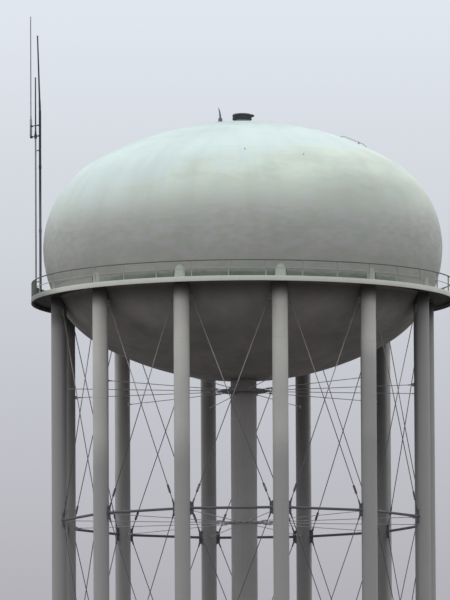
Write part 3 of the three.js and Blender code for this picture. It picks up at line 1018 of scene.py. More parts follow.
# %% [markdown]
# Small hardware comes next, because every large piece uses it: hexagon nuts and bolt heads are turned
# with six sides, and a weld bead is a thin ring or a thin bar that is half sunk in the plate.
# A real bead is a few millimetres high. It is too small to see from afar, but close by it is what tells
# steel plate from plastic.

# %% Bolts and beads
def nut(radius, tall):
    """A hexagon nut on a washer, with the bolt's end in it, standing on z = 0."""
    shape = Shape()
    washer = tall * 0.18
    shape.add(turned([(0, 0), (radius * 1.35, 0), (radius * 1.35, washer), (0, washer)], 18))
    shape.add(turned([(0, washer), (radius, washer), (radius, tall * 0.86), (radius * 0.86, tall),
                      (0, tall)], 6))
    shape.add(turned([(0, tall * 0.9), (radius * 0.5, tall * 0.9), (radius * 0.5, tall * 1.5),
                      (radius * 0.4, tall * 1.6), (0, tall * 1.6)], 12))
    return shape.corners, shape.faces


def bead_ring(radius, at, wide, tall, sides):
    """A girth weld: a low round hump around a pipe."""
    return turned([(radius - tall, at - wide / 2), (radius + tall * 0.7, at - wide / 4), (radius + tall, at),
                   (radius + tall * 0.7, at + wide / 4), (radius - tall, at + wide / 2)], sides, closed=True)


print("nut:", len(nut(0.02, 0.02)[1]), "faces")

# %% [markdown]
# The tank is a shell of thick plate, turned about the axis. Its outline is four arcs that run smoothly
# into each other: a dish of large radius below, a knuckle of smaller radius that turns up to the widest
# point, a shoulder that turns in over it, and a crown as flat as the dish. An arc has a centre and a
# radius, and a turn in degrees says where a point lies on it: 0 is straight down, 90 is the side and 180
# is straight up. Two hundred and eighty-eight steps around keep the edge smooth in a close view.

# %% Outline of the tank
tank_sides = 288
bowl_arc = (0.0, bowl_centre, bowl_radius)
knuckle_arc = (knuckle_centre, equator, knuckle_radius)
shoulder_arc = (shoulder_centre, equator, shoulder_radius)
crown_arc = (0.0, crown_centre, crown_radius)


def arc_point(arc, turn, offset=0.0):
    """Distance from the axis and height of a point of the outline, moved out by offset."""
    out, at, radius = arc
    return out + (radius + offset) * sin(radians(turn)), at - (radius + offset) * cos(radians(turn))


def stretch(arc, start, end, steps, offset=0.0):
    return [arc_point(arc, start + (end - start) * i / steps, offset) for i in range(steps + 1)]


def shell(arc, start, end, steps):
    """A closed shell of plate between two turns of an arc."""
    outside = stretch(arc, start, end, steps)
    inside = stretch(arc, start, end, max(2, steps // 3), -plate)
    touches_axis = min(outside[0][0], outside[-1][0]) <= on_axis
    return turned(outside + inside[::-1], tank_sides, closed=not touches_axis)


print("the bowl ends at", round(bowl_turn, 1), "degrees, the shoulder at", round(crown_turn, 1))

# %% Seams of the tank
bead_wide = 0.014
bead_tall = 0.0018
bead_outline = [(-1, -1.0), (-0.5, 0.7), (0, 1.0), (0.5, 0.7), (1, -1.0)]
bead_sunk = 0.4


def girth_seam(shape, arc, turn, sides=tank_sides):
    """A level bead on the tank, which lies on the slope of its plate."""
    half = degrees(bead_wide / 2 / arc[2])
    profile = [arc_point(arc, turn + half * step, bead_tall * tall) for step, tall in bead_outline]
    shape.add(turned(profile, sides, closed=True))


def upright_seams(shape, arc, start, end, steps, turns):
    """Weld beads that run from one end of a course of plates to the other, at each of these turns."""
    path = [(0.0, -radius, at) for radius, at in stretch(arc, start, end, steps, -bead_tall * bead_sunk)]
    line = bar(path, bead_tall, 6)
    for turn in turns:
        shape.add(line, spin(turn))


print("beads are", round(bead_wide * 1000), "mm wide and", bead_tall * 1000, "mm high")

# %% [markdown]
# Each course of plates is a piece of its own, as it is on site, and its upright seams are staggered
# against those of the next course so that no two seams meet in a cross. The level seams between courses
# go with the course below. The middle of the bowl and the middle of the crown are round plates with no
# seam across them.

# %% Tank shell
centre_plate = 8.0
centre_sides = 96

bowl = Shape().add(shell(bowl_arc, 0.0, bowl_turn, 30))
girth_seam(bowl, bowl_arc, bowl_turn)
girth_seam(bowl, bowl_arc, centre_plate, centre_sides)
upright_seams(bowl, bowl_arc, centre_plate, bowl_turn, 14, around(12, 8))
finish_piece("dished_bowl", bowl, tank_paint, "tank_paint", "tank_bowl")

knuckle = Shape().add(shell(knuckle_arc, bowl_turn, belt_turn, 30))
girth_seam(knuckle, knuckle_arc, belt_turn)
upright_seams(knuckle, knuckle_arc, bowl_turn, belt_turn, 20, around(24, 3))
finish_piece("knuckle_course", knuckle, tank_paint, "tank_paint", "tank_knuckle")

belt = Shape().add(shell(knuckle_arc, belt_turn, 90.0, 12))
girth_seam(belt, knuckle_arc, 90.0)
upright_seams(belt, knuckle_arc, belt_turn, 90.0, 8, around(12, 20))
finish_piece("belt_course", belt, tank_paint, "tank_paint", "tank_belt")

shoulder = Shape().add(shell(shoulder_arc, 90.0, crown_turn, 36))
girth_seam(shoulder, shoulder_arc, crown_turn)
upright_seams(shoulder, shoulder_arc, 90.0, crown_turn, 20, around(24, 5))
finish_piece("shoulder_course", shoulder, tank_paint, "tank_paint", "tank_shoulder")

crown = Shape().add(shell(crown_arc, crown_turn, 180.0, 40))
girth_seam(crown, crown_arc, 180.0 - centre_plate, centre_sides)
upright_seams(crown, crown_arc, crown_turn, 180.0 - centre_plate, 16, around(24, 12))
finish_piece("roof_crown", crown, tank_paint, "tank_paint", "tank_roof")
print("tank:", sum(triangle_count.values()), "triangles")

# %% [markdown]
# A column is a pipe that runs up past the balcony and ends where the tank bulges over it. Its top edge
# follows the tank: at each point of the rim, the height is that of the tank's plate straight above. A
# formula gives it exactly, where a boolean would leave ragged triangles. A bead of weld follows the same
# line. Above the deck the pipe grows narrower, because the photograph shows the caps tapering.

# %% Top edge of a column
rim_gap = 0.003
cap_taper = 0.17
rim_rounds = 8


def tank_height_over(x, y):
    """The height of the tank's underside over a point on the ground, capped at the column's flat top."""
    out = hypot(x, y) - knuckle_centre
    if out >= knuckle_radius:
        return column_top
    return min(column_top, equator - sqrt(knuckle_radius ** 2 - out ** 2) - rim_gap)


def pipe_radius_at(at):
    """The pipe is drawn in above the deck, so that its visible top is an arch in front of the tank."""
    return column_radius * (1 - cap_taper * max(0.0, at - deck_top) / (column_top - deck_top))


def on_column(turn, at, reach=1.0):
    radius = pipe_radius_at(at) * reach
    return radius * sin(turn), -column_circle - radius * cos(turn), at


def under_tank(turn, reach=1.0):
    """The height of the top edge at a turn; it depends on the taper and the taper on it, so it is found in
    rounds."""
    at = column_top
    for _ in range(rim_rounds):
        x, y, _ = on_column(turn, at, reach)
        at = tank_height_over(x, y)
    return at


print("a column's top edge rises from", round(under_tank(pi), 2), "m inside to", round(under_tank(0), 2), "m")

# %% Column shaft
column_sides = 64
plate_thick = 0.03
shaft_stop = 0.6
shaft_long = fascia_bottom - shaft_stop
shaft_steps = 16
cap_steps = (0.3, 0.6, 0.73, 0.86, 1.0)
lid_steps = (0.94, 0.75, 0.5, 0.25)
course_count = 12
rim_weld = 0.008
girth_weld = (0.014, 0.003)


def column_shape():
    turns = [2 * pi * i / column_sides for i in range(column_sides)]
    heights = [plate_thick + shaft_long * i / shaft_steps for i in range(shaft_steps + 1)]
    last = heights[-1]
    rings = [[on_column(turn, at) for turn in turns] for at in heights]
    for share in cap_steps:
        rings.append([on_column(turn, last + (under_tank(turn) - last) * share) for turn in turns])
    for reach in lid_steps:
        rings.append([on_column(turn, under_tank(turn, reach), reach) for turn in turns])
    corners = [point for ring in rings for point in ring]
    rows = [list(range(n * column_sides, (n + 1) * column_sides)) for n in range(len(rings))]
    for at in (under_tank(0.0, 0.0), heights[0]):
        corners.append((0.0, -column_circle, at))
    rows = [[len(corners) - 1] * column_sides] + rows + [[len(corners) - 2] * column_sides]
    shape = Shape().add((corners, skin(rows)))
    weld = [on_column(turn, under_tank(turn)) for turn in turns]
    shape.add(bar(weld, rim_weld, 8, loop=True))
    for i in range(1, course_count):
        at = fascia_bottom * i / course_count
        shape.add(bead_ring(column_radius, at, *girth_weld, column_sides), move(0, -column_circle, 0))
    return shape


column = column_shape()
print("column shaft:", len(column.faces), "faces")

# %% [markdown]
# The feet are out of the photograph's view, so they are the plain ones of such a tower: a square base
# plate, eight stiffeners welded to the pipe, and four anchor bolts. The stiffeners have clipped corners
# so that the weld around the pipe can pass under them. A foot is added to the column's shape, and then
# the one shape makes all twelve columns.

# %% Column feet
plate_side = 0.7
stiffener_reach = 0.11
stiffener_tall = 0.26
stiffener_thick = 0.012
stiffener_count = 8
clip = 0.02
anchor_reach = 0.27
anchor_nut = (0.028, 0.034)
pipe_foot_weld = (0.016, 0.008)


def foot_shape(shape):
    half = plate_side / 2
    square = [(-half, -half), (half, -half), (half, half), (-half, half)]
    shape.add(slab(square, plate_thick, 0.003), move(0, -column_circle, plate_thick / 2) @ spin(90, "X"))
    rib = slab([(0, clip), (clip, 0), (stiffener_reach, 0), (stiffener_reach, 0.03),
                (0.02, stiffener_tall), (0, stiffener_tall)], stiffener_thick, eased)
    for turn in around(stiffener_count, 22.5):
        place = move(0, -column_circle, plate_thick) @ spin(turn) @ move(column_radius - 0.002, 0, 0)
        shape.add(rib, place)
    for side_x in (-1, 1):
        for side_y in (-1, 1):
            spot = move(side_x * anchor_reach, -column_circle + side_y * anchor_reach, plate_thick)
            shape.add(nut(*anchor_nut), spot)
    shape.add(bead_ring(column_radius, plate_thick + 0.004, *pipe_foot_weld, column_sides),
              move(0, -column_circle, 0))


foot_shape(column)
for i, turn in enumerate(column_turns):
    finish_piece(f"column_pipe_{i + 1:02d}", column, column_paint, "column_paint", f"column_{i + 1:02d}",
                 place=spin(turn))
print("column:", triangle_count["column_pipe_01"], "triangles each")

# %% [markdown]
# Tie rods do half of a tower's work. Each one is a round bar with a forked clevis at both ends, pinned to
# a gusset plate on the column. The clevis is built at the origin, with its pin across the plate, and is
# then laid along its rod.

# %% Clevis
clevis_long = 0.15


def clevis(radius):
    """A fork around a gusset plate, with its pin; the pin is at the origin and the rod leaves along Z."""
    shape = Shape()
    wide, thick, gap = radius * 3.6, radius * 0.9, radius * 1.5
    neck = clevis_long * 0.5
    cheek = [(wide / 2 * sin(radians(t)), -wide / 2 * cos(radians(t))) for t in range(-90, 91, 30)]
    cheek += [(wide / 2, neck * 0.8), (radius * 1.2, neck), (-radius * 1.2, neck), (-wide / 2, neck * 0.8)]
    for side in (-1, 1):
        shape.add(slab(cheek, thick, eased), move(0, side * (gap + thick) / 2, 0))
    socket = [(0, neck * 0.78), (radius * 1.2, neck * 0.78), (radius * 1.8, neck),
              (radius * 1.8, clevis_long * 0.85), (radius * 1.35, clevis_long), (0, clevis_long)]
    shape.add(turned(socket, 12))
    pin = gap / 2 + thick + radius * 0.7
    shape.add(bar([(0, -pin, 0), (0, pin, 0)], radius * 0.9, 12))
    head = [(0, 0), (radius * 1.5, 0), (radius * 1.5, radius * 0.7), (0, radius * 0.7)]
    for side in (-1, 1):
        shape.add(turned(head, 6), move(0, side * (gap / 2 + thick), 0) @ spin(-90 * side, "X"))
    return shape.corners, shape.faces


def along_rod(at, along):
    """Z along the rod, and Y as near as it goes to the bay's own Y, which is the way through its plates."""
    across = Vector((0, 1, 0))
    side = across.cross(along).normalized()
    through = along.cross(side).normalized()
    turn = Matrix((side, through, along)).transposed().to_4x4()
    return Matrix.Translation(at) @ turn


print("clevis:", len(clevis(0.01)[1]), "faces")

# %% [markdown]
# A turnbuckle near the rod's lower end draws it tight. Crossed rods pass each other in the middle of a
# panel, so each is bowed sideways by a little over its own radius: a sine gives a bow that is nothing at
# the ends.

# %% Tie rods
rod_radius = 0.0125
rod_bow = rod_radius * 1.3
turnbuckle_long = 0.26
turnbuckle_place = 0.46
boss_half = 0.025
rod_steps = 8


def turnbuckle(radius):
    """Two side bars between two threaded bosses, centred on the origin along Z."""
    shape = Shape()
    half = turnbuckle_long / 2
    boss = [(0, -boss_half), (radius * 2.2, -boss_half), (radius * 2.2, boss_half), (0, boss_half)]
    for side in (-1, 1):
        shape.add(turned(boss, 6), move(0, 0, side * (half - boss_half)))
        shape.add(block(radius * 1.3, radius * 1.6, turnbuckle_long - 0.03, 0.002),
                  move(side * radius * 1.9, 0, 0))
    return shape.corners, shape.faces


def tie_rod(shape, start, end, radius, bow=0.0):
    """A rod between two pins, with a clevis at each end and a turnbuckle towards its start."""
    start, end = Vector(start), Vector(end)
    along = (end - start).normalized()
    sideways = Vector((0, 1, 0)) * bow
    long = (end - start).length
    inset = clevis_long * 0.9 / long
    steps = [inset] + [n / rod_steps for n in range(1, rod_steps)] + [1 - inset]
    path = [start.lerp(end, step) + sideways * sin(pi * step) for step in steps]
    shape.add(bar(path, radius, 12))
    shape.add(clevis(radius), along_rod(start, along))
    shape.add(clevis(radius), along_rod(end, -along))
    draw = turnbuckle_place / long
    middle = start.lerp(end, draw) + sideways * sin(pi * draw)
    shape.add(turnbuckle(radius), along_rod(middle, along))


print("turnbuckle:", len(turnbuckle(rod_radius)[1]), "faces")

# %% [markdown]
# A bay of bracing lies in the flat plane between two columns. It has two pipe struts and three panels of
# crossed rods, and gusset plates stand out from the columns in the same plane to take the pins. The bay
# is built once at the front and turned round the tower twelve times.

# %% Gussets and struts
gusset_thick = 0.014
gusset_reach = 0.1
strut_radius = 0.038
strut_sides = 28
face_x = bay_half_width - column_radius


def gusset(shape, at, half):
    """A pair of plates, one on each column, that taper away above and below, with a bead along the pipe."""
    outer = half * 0.75 - 0.02
    outline = [(0.012, -half), (-0.02, -half), (-gusset_reach, -outer), (-gusset_reach, outer),
               (-0.02, half), (0.012, half)]
    for side in (-1, 1):
        points = [(side * x, z) for x, z in (outline if side > 0 else outline[::-1])]
        shape.add(slab(points, gusset_thick, eased), move(side * face_x, 0, at))
        for face in (-1, 1):
            weld = [(side * (face_x + 0.001), face * gusset_thick / 2, at + z) for z in (-half, 0, half)]
            shape.add(bar(weld, 0.005, 6))


def strut(shape, at):
    reach = face_x + 0.006
    shape.add(bar([(-reach, 0, at), (0, 0, at), (reach, 0, at)], strut_radius, strut_sides))
    weld = turned([(strut_radius - 0.004, 0), (strut_radius + 0.01, 0), (strut_radius + 0.002, 0.012),
                   (strut_radius - 0.004, 0.012)], strut_sides, closed=True)
    for side in (-1, 1):
        shape.add(weld, move(side * (face_x + 0.003), 0, at) @ spin(-90 * side, "Y"))


print("a strut is", round(2 * face_x, 2), "m long between the pipes")

# %% Bays of bracing
rod_inset = 0.07
rod_rise = 0.15
strut_gusset = 0.2
end_gusset = 0.11


def panel(shape, bottom, top):
    pin_x = face_x - rod_inset
    tie_rod(shape, (-pin_x, 0, bottom), (pin_x, 0, top), rod_radius, rod_bow)
    tie_rod(shape, (pin_x, 0, bottom), (-pin_x, 0, top), rod_radius, -rod_bow)


def bay_shape():
    shape = Shape()
    levels = [bottom_rod_height - rod_rise, *strut_heights, top_rod_height + rod_rise]
    for lower, upper in zip(levels, levels[1:]):
        panel(shape, lower + rod_rise, upper - rod_rise)
    for at in strut_heights:
        strut(shape, at)
        gusset(shape, at, strut_gusset)
    gusset(shape, top_rod_height, end_gusset)
    gusset(shape, bottom_rod_height, end_gusset)
    return shape


bay = bay_shape()
for i in range(column_count):
    finish_piece(f"bay_{i + 1:02d}", bay, bracing_paint, "bracing_paint", f"bracing_{i + 1:02d}",
                 place=spin(i * bay_spread) @ move(0, -bay_radius, 0))
print("bay:", triangle_count["bay_01"], "triangles each")

# %% [markdown]
# The riser brings the water up and down. It is a wide pipe made of short rolled courses, so girth welds
# circle it every 1.3 metres, and each course has one upright seam, well away from those of its
# neighbours. It stands on a bolted flange and ends in the bowl.

# %% Riser
riser_sides = 96
riser_courses = 13
wall_steps = 12
seam_start = 40
seam_turn = 137
flange_radius = 0.54
flange_thick = 0.03
flange_bolts = 24
foot_weld = (0.02, 0.01)
top_weld = (0.03, 0.014)
course_weld = (0.016, 0.004)
seam_bead = 0.004
bowl_bottom = bowl_centre - bowl_radius
riser_end = bowl_centre - sqrt(bowl_radius ** 2 - riser_radius ** 2) - rim_gap

riser = Shape()
wall = [(0, 0.002), (riser_radius, 0.002)]
wall += [(riser_radius, riser_end * i / wall_steps) for i in range(1, wall_steps + 1)]
riser.add(turned(wall + [(riser_radius * 0.6, bowl_bottom), (0, bowl_bottom - rim_gap)], riser_sides))
riser.add(turned([(riser_radius - 0.01, 0), (flange_radius, 0), (flange_radius, flange_thick - 0.004),
                  (flange_radius - 0.004, flange_thick), (riser_radius - 0.01, flange_thick)], riser_sides,
                 closed=True))
riser.add(bead_ring(riser_radius, flange_thick + 0.004, *foot_weld, riser_sides))
riser.add(bead_ring(riser_radius, riser_end - 0.002, *top_weld, riser_sides))
for i in range(riser_courses):
    base_height = riser_end * i / riser_courses
    if i:
        riser.add(bead_ring(riser_radius, base_height, *course_weld, riser_sides))
    line = [(0, -riser_radius, base_height + riser_end / riser_courses * n / 3) for n in range(4)]
    riser.add(bar(line, seam_bead, 6), spin(seam_start + seam_turn * i))
flange_bolt = move(0, -(riser_radius + flange_radius) / 2 - 0.01, flange_thick)
for turn in around(flange_bolts):
    riser.add(nut(0.018, 0.022), spin(turn) @ flange_bolt)
finish_piece("riser_pipe", riser, riser_shaded_paint, "column_paint", "riser")
print("riser:", triangle_count["riser_pipe"], "triangles, in courses of",
      round(riser_end / riser_courses, 2), "m")

# %% [markdown]
# Three sets of radial rods keep the riser from swaying. Each set is built flat at the height of the
# ground and then lifted, with one spoke turned to each column. A lug on each column takes the outer pin.

# %% Radial rods
tie_radius = 0.01
lug_reach = 0.09
lug_thick = 0.012


def spokes(at, inner):
    """The twelve rods of one level, with their lugs."""
    outer = column_circle - column_radius - lug_reach * 0.6
    shape, spoke = Shape(), Shape()
    lug = [(0.012, -0.05), (0.012, 0.05), (-lug_reach * 0.55, 0.05), (-lug_reach, 0.025),
           (-lug_reach, -0.025), (-lug_reach * 0.55, -0.05)]
    tongue = [(inner - 0.03, -0.035), (inner + 0.06, -0.02), (inner + 0.06, 0.02), (inner - 0.03, 0.035)]
    spoke.add(slab(lug, lug_thick, eased), move(column_circle - column_radius, 0, 0))
    spoke.add(slab(tongue, lug_thick, eased))
    tie_rod(spoke, (inner + 0.035, 0, 0), (outer, 0, 0), tie_radius)
    for turn in column_turns:
        shape.add((spoke.corners, spoke.faces), spin(turn - 90) @ move(0, 0, at))
    return shape


print("radial rods of", round(tie_radius * 2000), "mm")

# %% [markdown]
# The lower two sets start from a plain band that is clamped round the pipe by a bolt through a pair of
# ears on each side. The top one starts from a wider collar of two ring plates with stiffeners between
# them, which the photograph shows as a dark bar just under the bowl.

# %% Clamped band
band_tall = 0.07
band_outside = riser_radius + 0.026
band_inside = riser_radius - 0.004
ear_thick = 0.01
ear_long = 0.08
ear_out = 0.03
ear_aside = 0.012
clamp_bolt_half = 0.035
clamp_bolt_out = 0.035
clamp_bolt_radius = 0.008


def clamped_band(at):
    shape = Shape()
    half = band_tall / 2
    profile = [(band_inside, at - half), (band_outside, at - half + 0.002),
               (band_outside, at + half - 0.002), (band_inside, at + half)]
    shape.add(turned(profile, riser_sides, closed=True))
    for turn in (90, 270):
        for side in (-1, 1):
            ear = move(0, -band_outside - ear_out, at) @ move(side * ear_aside, 0, 0)
            shape.add(block(ear_thick, ear_long, band_tall, eased), spin(turn) @ ear)
        bolt = [(side * clamp_bolt_half, -band_outside - clamp_bolt_out, at) for side in (-1, 1)]
        shape.add(bar(bolt, clamp_bolt_radius, 10), spin(turn))
    return shape


print("a clamped band is", round(band_tall * 1000), "mm tall")

# %% Built-up collar
collar_outside = 0.64
ring_plate = 0.012
rim_thick = 0.012
rim_inset = 0.04
collar_stiffeners = 24
collar_stiffener_thick = 0.01


def built_collar(at):
    shape = Shape()
    half = band_tall / 2
    for side in (-1, 1):
        lower = at + side * half - ring_plate / 2
        profile = [(band_inside, lower), (collar_outside, lower), (collar_outside, lower + ring_plate),
                   (band_inside, lower + ring_plate)]
        shape.add(turned(profile, riser_sides, closed=True))
    wide = collar_outside - riser_radius
    for turn in around(collar_stiffeners):
        stiffener = move(0, -(riser_radius + wide / 2) + 0.01, at)
        shape.add(block(collar_stiffener_thick, wide - 0.02, band_tall - 0.01, eased), spin(turn) @ stiffener)
    rim_inside = collar_outside - rim_inset
    rim_outside = rim_inside + rim_thick
    rim = [(rim_inside, at - half), (rim_outside, at - half), (rim_outside, at + half),
           (rim_inside, at + half)]
    shape.add(turned(rim, riser_sides, closed=True))
    return shape


print("the collar is", 2 * collar_outside, "m across")

# %% Radial rods, bands and collar in place
for level, at in zip(tie_levels, tie_heights):
    if level == "upper":
        outside, band = collar_outside, built_collar(at)
    else:
        outside, band = band_outside, clamped_band(at)
    finish_piece(f"radial_rods_{level}", spokes(at, outside), radial_paint, "bracing_paint",
                 f"riser_ties_{level}")
    finish_piece(f"riser_band_{level}", band, riser_shaded_paint, "column_paint", f"riser_ties_{level}")
print("radial rods:", triangle_count["radial_rods_upper"], "triangles")

# %% [markdown]
# The balcony's deck is a ring of plate between the tank and the fascia, and the columns pass up through
# it. Its plates are welded side by side, so a low bead crosses the deck at each joint, and a flat ring
# closes the hole around each column.

# %% Deck
ring_sides = 288
deck_thick = 0.012
deck_inner = knuckle_centre + sqrt(knuckle_radius ** 2 - (equator - deck_top) ** 2) - 0.004
deck_outer = balcony_radius - 0.012
collar_gap = 0.001
collar_reach = 0.05
collar_rise = 0.008
deck_joints = 24
deck_joint_start = 7.5
deck_bead = 0.004

deck = Shape()
deck.add(turned([(deck_inner, deck_top - deck_thick), (deck_outer, deck_top - deck_thick),
                 (deck_outer, deck_top), (deck_inner, deck_top)], ring_sides, closed=True))
deck.add(bead_ring(deck_inner + 0.006, deck_top + 0.003, 0.02, 0.008, ring_sides))
for turn in around(deck_joints, deck_joint_start):
    joint = [(0, -deck_inner, deck_top), (0, -deck_outer, deck_top)]
    deck.add(bar(joint, deck_bead, 6), spin(turn))
collar = turned([(column_radius + collar_gap, -deck_thick - collar_rise),
                 (column_radius + collar_reach, -deck_thick - collar_rise),
                 (column_radius + collar_reach, collar_rise),
                 (column_radius + collar_gap, collar_rise)], 64, closed=True)
for turn in column_turns:
    deck.add(collar, spin(turn) @ move(0, -column_circle, deck_top))
finish_piece("deck_plates", deck, balcony_paint, "balcony_paint", "balcony_deck")
print("deck:", triangle_count["deck_plates"], "triangles")

# %% [markdown]
# Under the tank's bulge there would be a wedge where nobody can reach to clean and paint, so an upright
# skirt closes it off, from one column to the next. It is a bent plate with a bead along its foot and its
# top and a narrow strip at both ends.

# %% Skirt
skirt_thick = 0.012
skirt_start = 1.9
skirt_steps = 24
skirt_bead = 0.006


def wall_arc(inner, outer, bottom, top, start, end, steps):
    """An upright plate bent round the tower's axis, between two turns."""
    corners, rows = [], []
    for i in range(steps + 1):
        turn = radians(start + (end - start) * i / steps)
        rows.append(next_row(corners, 4))
        corners += [on_circle(radius, turn, at)
                    for radius, at in ((inner, bottom), (outer, bottom), (outer, top), (inner, top))]
    return corners, skin(rows) + lids(rows)


skirt = Shape()
for turn in column_turns:
    start, end = turn + skirt_start, turn + bay_spread - skirt_start
    skirt.add(wall_arc(skirt_radius - skirt_thick, skirt_radius, deck_top, skirt_top,
                       start, end, skirt_steps))
    for at in (deck_top + 0.002, skirt_top - 0.002):
        weld = [on_circle(skirt_radius, radians(start + (end - start) * i / skirt_steps), at)
                for i in range(skirt_steps + 1)]
        skirt.add(bar(weld, skirt_bead, 6))
    for side in (-1, 1):
        place = spin(turn + side * skirt_start) @ move(0, -skirt_radius, (deck_top + skirt_top) / 2)
        skirt.add(block(skirt_thick, 0.012, skirt_top - deck_top), place)
finish_piece("deck_skirt", skirt, skirt_paint, "balcony_paint")
print("skirt:", triangle_count["deck_skirt"], "triangles")

# %% [markdown]
# The fascia is the ring girder that ties the columns' tops together: a deep web of plate, rolled to the
# balcony's radius, with a flange turned in at its foot. It is the pale line in the photograph between the
# grey tank and the black underside. Its bent corners are rounded, and it is butt-welded once in each bay.

# %% Fascia
flange_in = 0.07
web_thick = 0.012
bend_radius = 0.006
joint_turn = 3
joint_bead = 0.003


def fascia_profile():
    inner = balcony_radius - web_thick
    outside = [(balcony_radius - bend_radius + bend_radius * cos(radians(t)),
                fascia_bottom + bend_radius + bend_radius * sin(radians(t))) for t in range(-90, 1, 30)]
    outside += [(balcony_radius - bend_radius / 2 + bend_radius / 2 * cos(radians(t)),
                 fascia_top - bend_radius / 2 + bend_radius / 2 * sin(radians(t))) for t in range(0, 91, 30)]
    return outside + [(inner + 0.002, fascia_top), (inner, fascia_top - 0.002),
                      (inner, fascia_bottom + web_thick + 0.01), (inner - 0.01, fascia_bottom + web_thick),
                      (inner - flange_in, fascia_bottom + web_thick), (inner - flange_in, fascia_bottom)]


fascia = Shape().add(turned(fascia_profile(), ring_sides, closed=True))
for turn in around(column_count):
    joint = [(0, -balcony_radius, fascia_bottom + 0.004), (0, -balcony_radius, fascia_top - 0.004)]
    fascia.add(bar(joint, joint_bead, 6), spin(turn + joint_turn))
finish_piece("ring_girder", fascia, balcony_paint, "balcony_paint", "balcony_fascia")
print("fascia:", triangle_count["ring_girder"], "triangles")

# %% [markdown]
# The railing has posts of angle iron, bolted to the deck, a stout top rail of pipe and a thinner one
# half-way up, each held to the posts by clips. A post is an extruded L, which is one outline and one
# thickness. The posts and the middle rail have the tank's tone, so hardly more than the top rail shows in
# front of it.

# %% Railing
post_count = 36
post_side = 0.034
post_web = 0.005
post_foot = (0.06, 0.05, 0.006)
post_nut = (0.007, 0.009)
clip_radius = 0.003
top_rail_radius = 0.018
mid_rail_radius = 0.01
rails = [(rail_top - top_rail_radius - 0.002, top_rail_radius), ((rail_top + deck_top) / 2, mid_rail_radius)]


def angle_post():
    tall = rail_top - deck_top
    half = post_side / 2
    outline = [(-half, -half), (half, -half), (half, half), (half - post_web, half),
               (half - post_web, -half + post_web), (-half, -half + post_web)]
    shape = Shape().add(slab(outline, tall), move(0, 0, tall / 2) @ spin(90, "X"))
    shape.add(block(*post_foot, eased), move(0, 0.004, post_foot[2] / 2))
    for side in (-1, 1):
        shape.add(nut(*post_nut), move(side * 0.021, 0.008, post_foot[2]))
    for at, radius in rails:
        middle = at - deck_top
        hug = -radius - clip_radius
        path = [(0.012, middle + radius + 0.006), (hug, middle + radius + 0.002),
                (hug, middle - radius - 0.002), (0.012, middle - radius - 0.006)]
        shape.add(bar([(0, y, min(z, tall - 0.004)) for y, z in path], clip_radius, 6))
    return shape.corners, shape.faces


posts = Shape()
post = angle_post()
for turn in around(post_count):
    posts.add(post, spin(turn) @ move(0, -rail_circle, deck_top))
finish_piece("rail_posts", posts, post_paint, "balcony_paint", "balcony_railing")

for name, (at, radius), paint in zip(("top_rail", "middle_rail"), rails, (rail_paint, post_paint)):
    ring = [on_circle(rail_circle, radians(t), at) for t in around(ring_sides)]
    rail = Shape().add(bar(ring, radius, 12, loop=True))
    finish_piece(name, rail, paint, "balcony_paint", "balcony_railing")
print("railing:", triangle_count["rail_posts"], "triangles in", post_count, "posts")

# %% [markdown]
# At the left end, below the antennas, the photograph shows the railing almost closed: framed panels of
# welded mesh stand there, so that nobody leans out into the beam. A picture of a mesh with see-through
# holes would be cheaper, but thin square wires are real geometry and show as the same grey veil.

# %% Mesh guard
wire_radius = 0.004
frame_radius = 0.017
mesh_gap = 0.025
mesh_circle = rail_circle + 0.02
mesh_low, mesh_high = deck_top + 0.02, rail_top - 0.03
mesh_panels = [(-105.0, -95.5), (-94.5, -85.5), (-84.5, -75.0)]
bend_every = 4
guard_foot = (0.04, 0.03, 0.03)


def on_guard(turn, at):
    return on_circle(mesh_circle, radians(turn), at)


guard, frames = Shape(), Shape()
for start, end in mesh_panels:
    count = round(radians(end - start) * mesh_circle / mesh_gap)
    spots = [start + (end - start) * i / count for i in range(count + 1)]
    for turn in spots[1:-1]:
        guard.add(bar([on_guard(turn, mesh_low), on_guard(turn, mesh_high)], wire_radius, 4))
    bends = spots[::bend_every] + [spots[-1]]
    for i in range(1, round((mesh_high - mesh_low) / mesh_gap)):
        guard.add(bar([on_guard(t, mesh_low + i * mesh_gap) for t in bends], wire_radius, 4))
    upright = [on_guard(start, mesh_low), on_guard(start, mesh_high)]
    border = upright + [on_guard(t, mesh_high) for t in spots[1:]]
    border += [on_guard(t, mesh_low) for t in reversed(spots)]
    frames.add(bar(border, frame_radius, 8))
    for turn in (start, end):
        foot = spin(turn) @ move(0, -mesh_circle, deck_top + 0.013)
        frames.add(block(*guard_foot, 0.002), foot)
finish_piece("mesh_guard", guard, guard_paint, "balcony_paint")
finish_piece("mesh_frames", frames, rail_paint, "balcony_paint")
print("mesh guard:", triangle_count["mesh_guard"], "triangles")

# %% [markdown]
# The roof's vent lets air in and out as the water level moves. A short pale neck carries a dark cap with
# a rolled rim, and a row of upright ribs stands around the cap's waist. The photograph shows a small
# tapered spout at one side of it.

# %% Vent
neck_radius = 0.215
neck_lip = 0.012
neck_top = low("roof_vent_cap").z
cap_radius = 0.285
cap_top = high("roof_vent_cap").z
dome_radius = cap_radius - 0.02
dome_foot = 0.165
vent_sides = 96
rib_count = 24
rib_radius = 0.006
spout_sizes = [0.05, 0.048, 0.034, 0.012]

neck = Shape()
neck.add(turned([(0, roof_top - 0.01), (neck_radius, roof_top - 0.012), (neck_radius, neck_top - 0.01),
                 (neck_radius + neck_lip, neck_top - 0.006), (neck_radius + neck_lip, neck_top),
                 (0, neck_top)], vent_sides))
neck.add(bead_ring(neck_radius, roof_top + 0.002, 0.02, 0.01, vent_sides))
finish_piece("vent_neck", neck, tank_paint, "tank_paint", "roof_vent_neck")

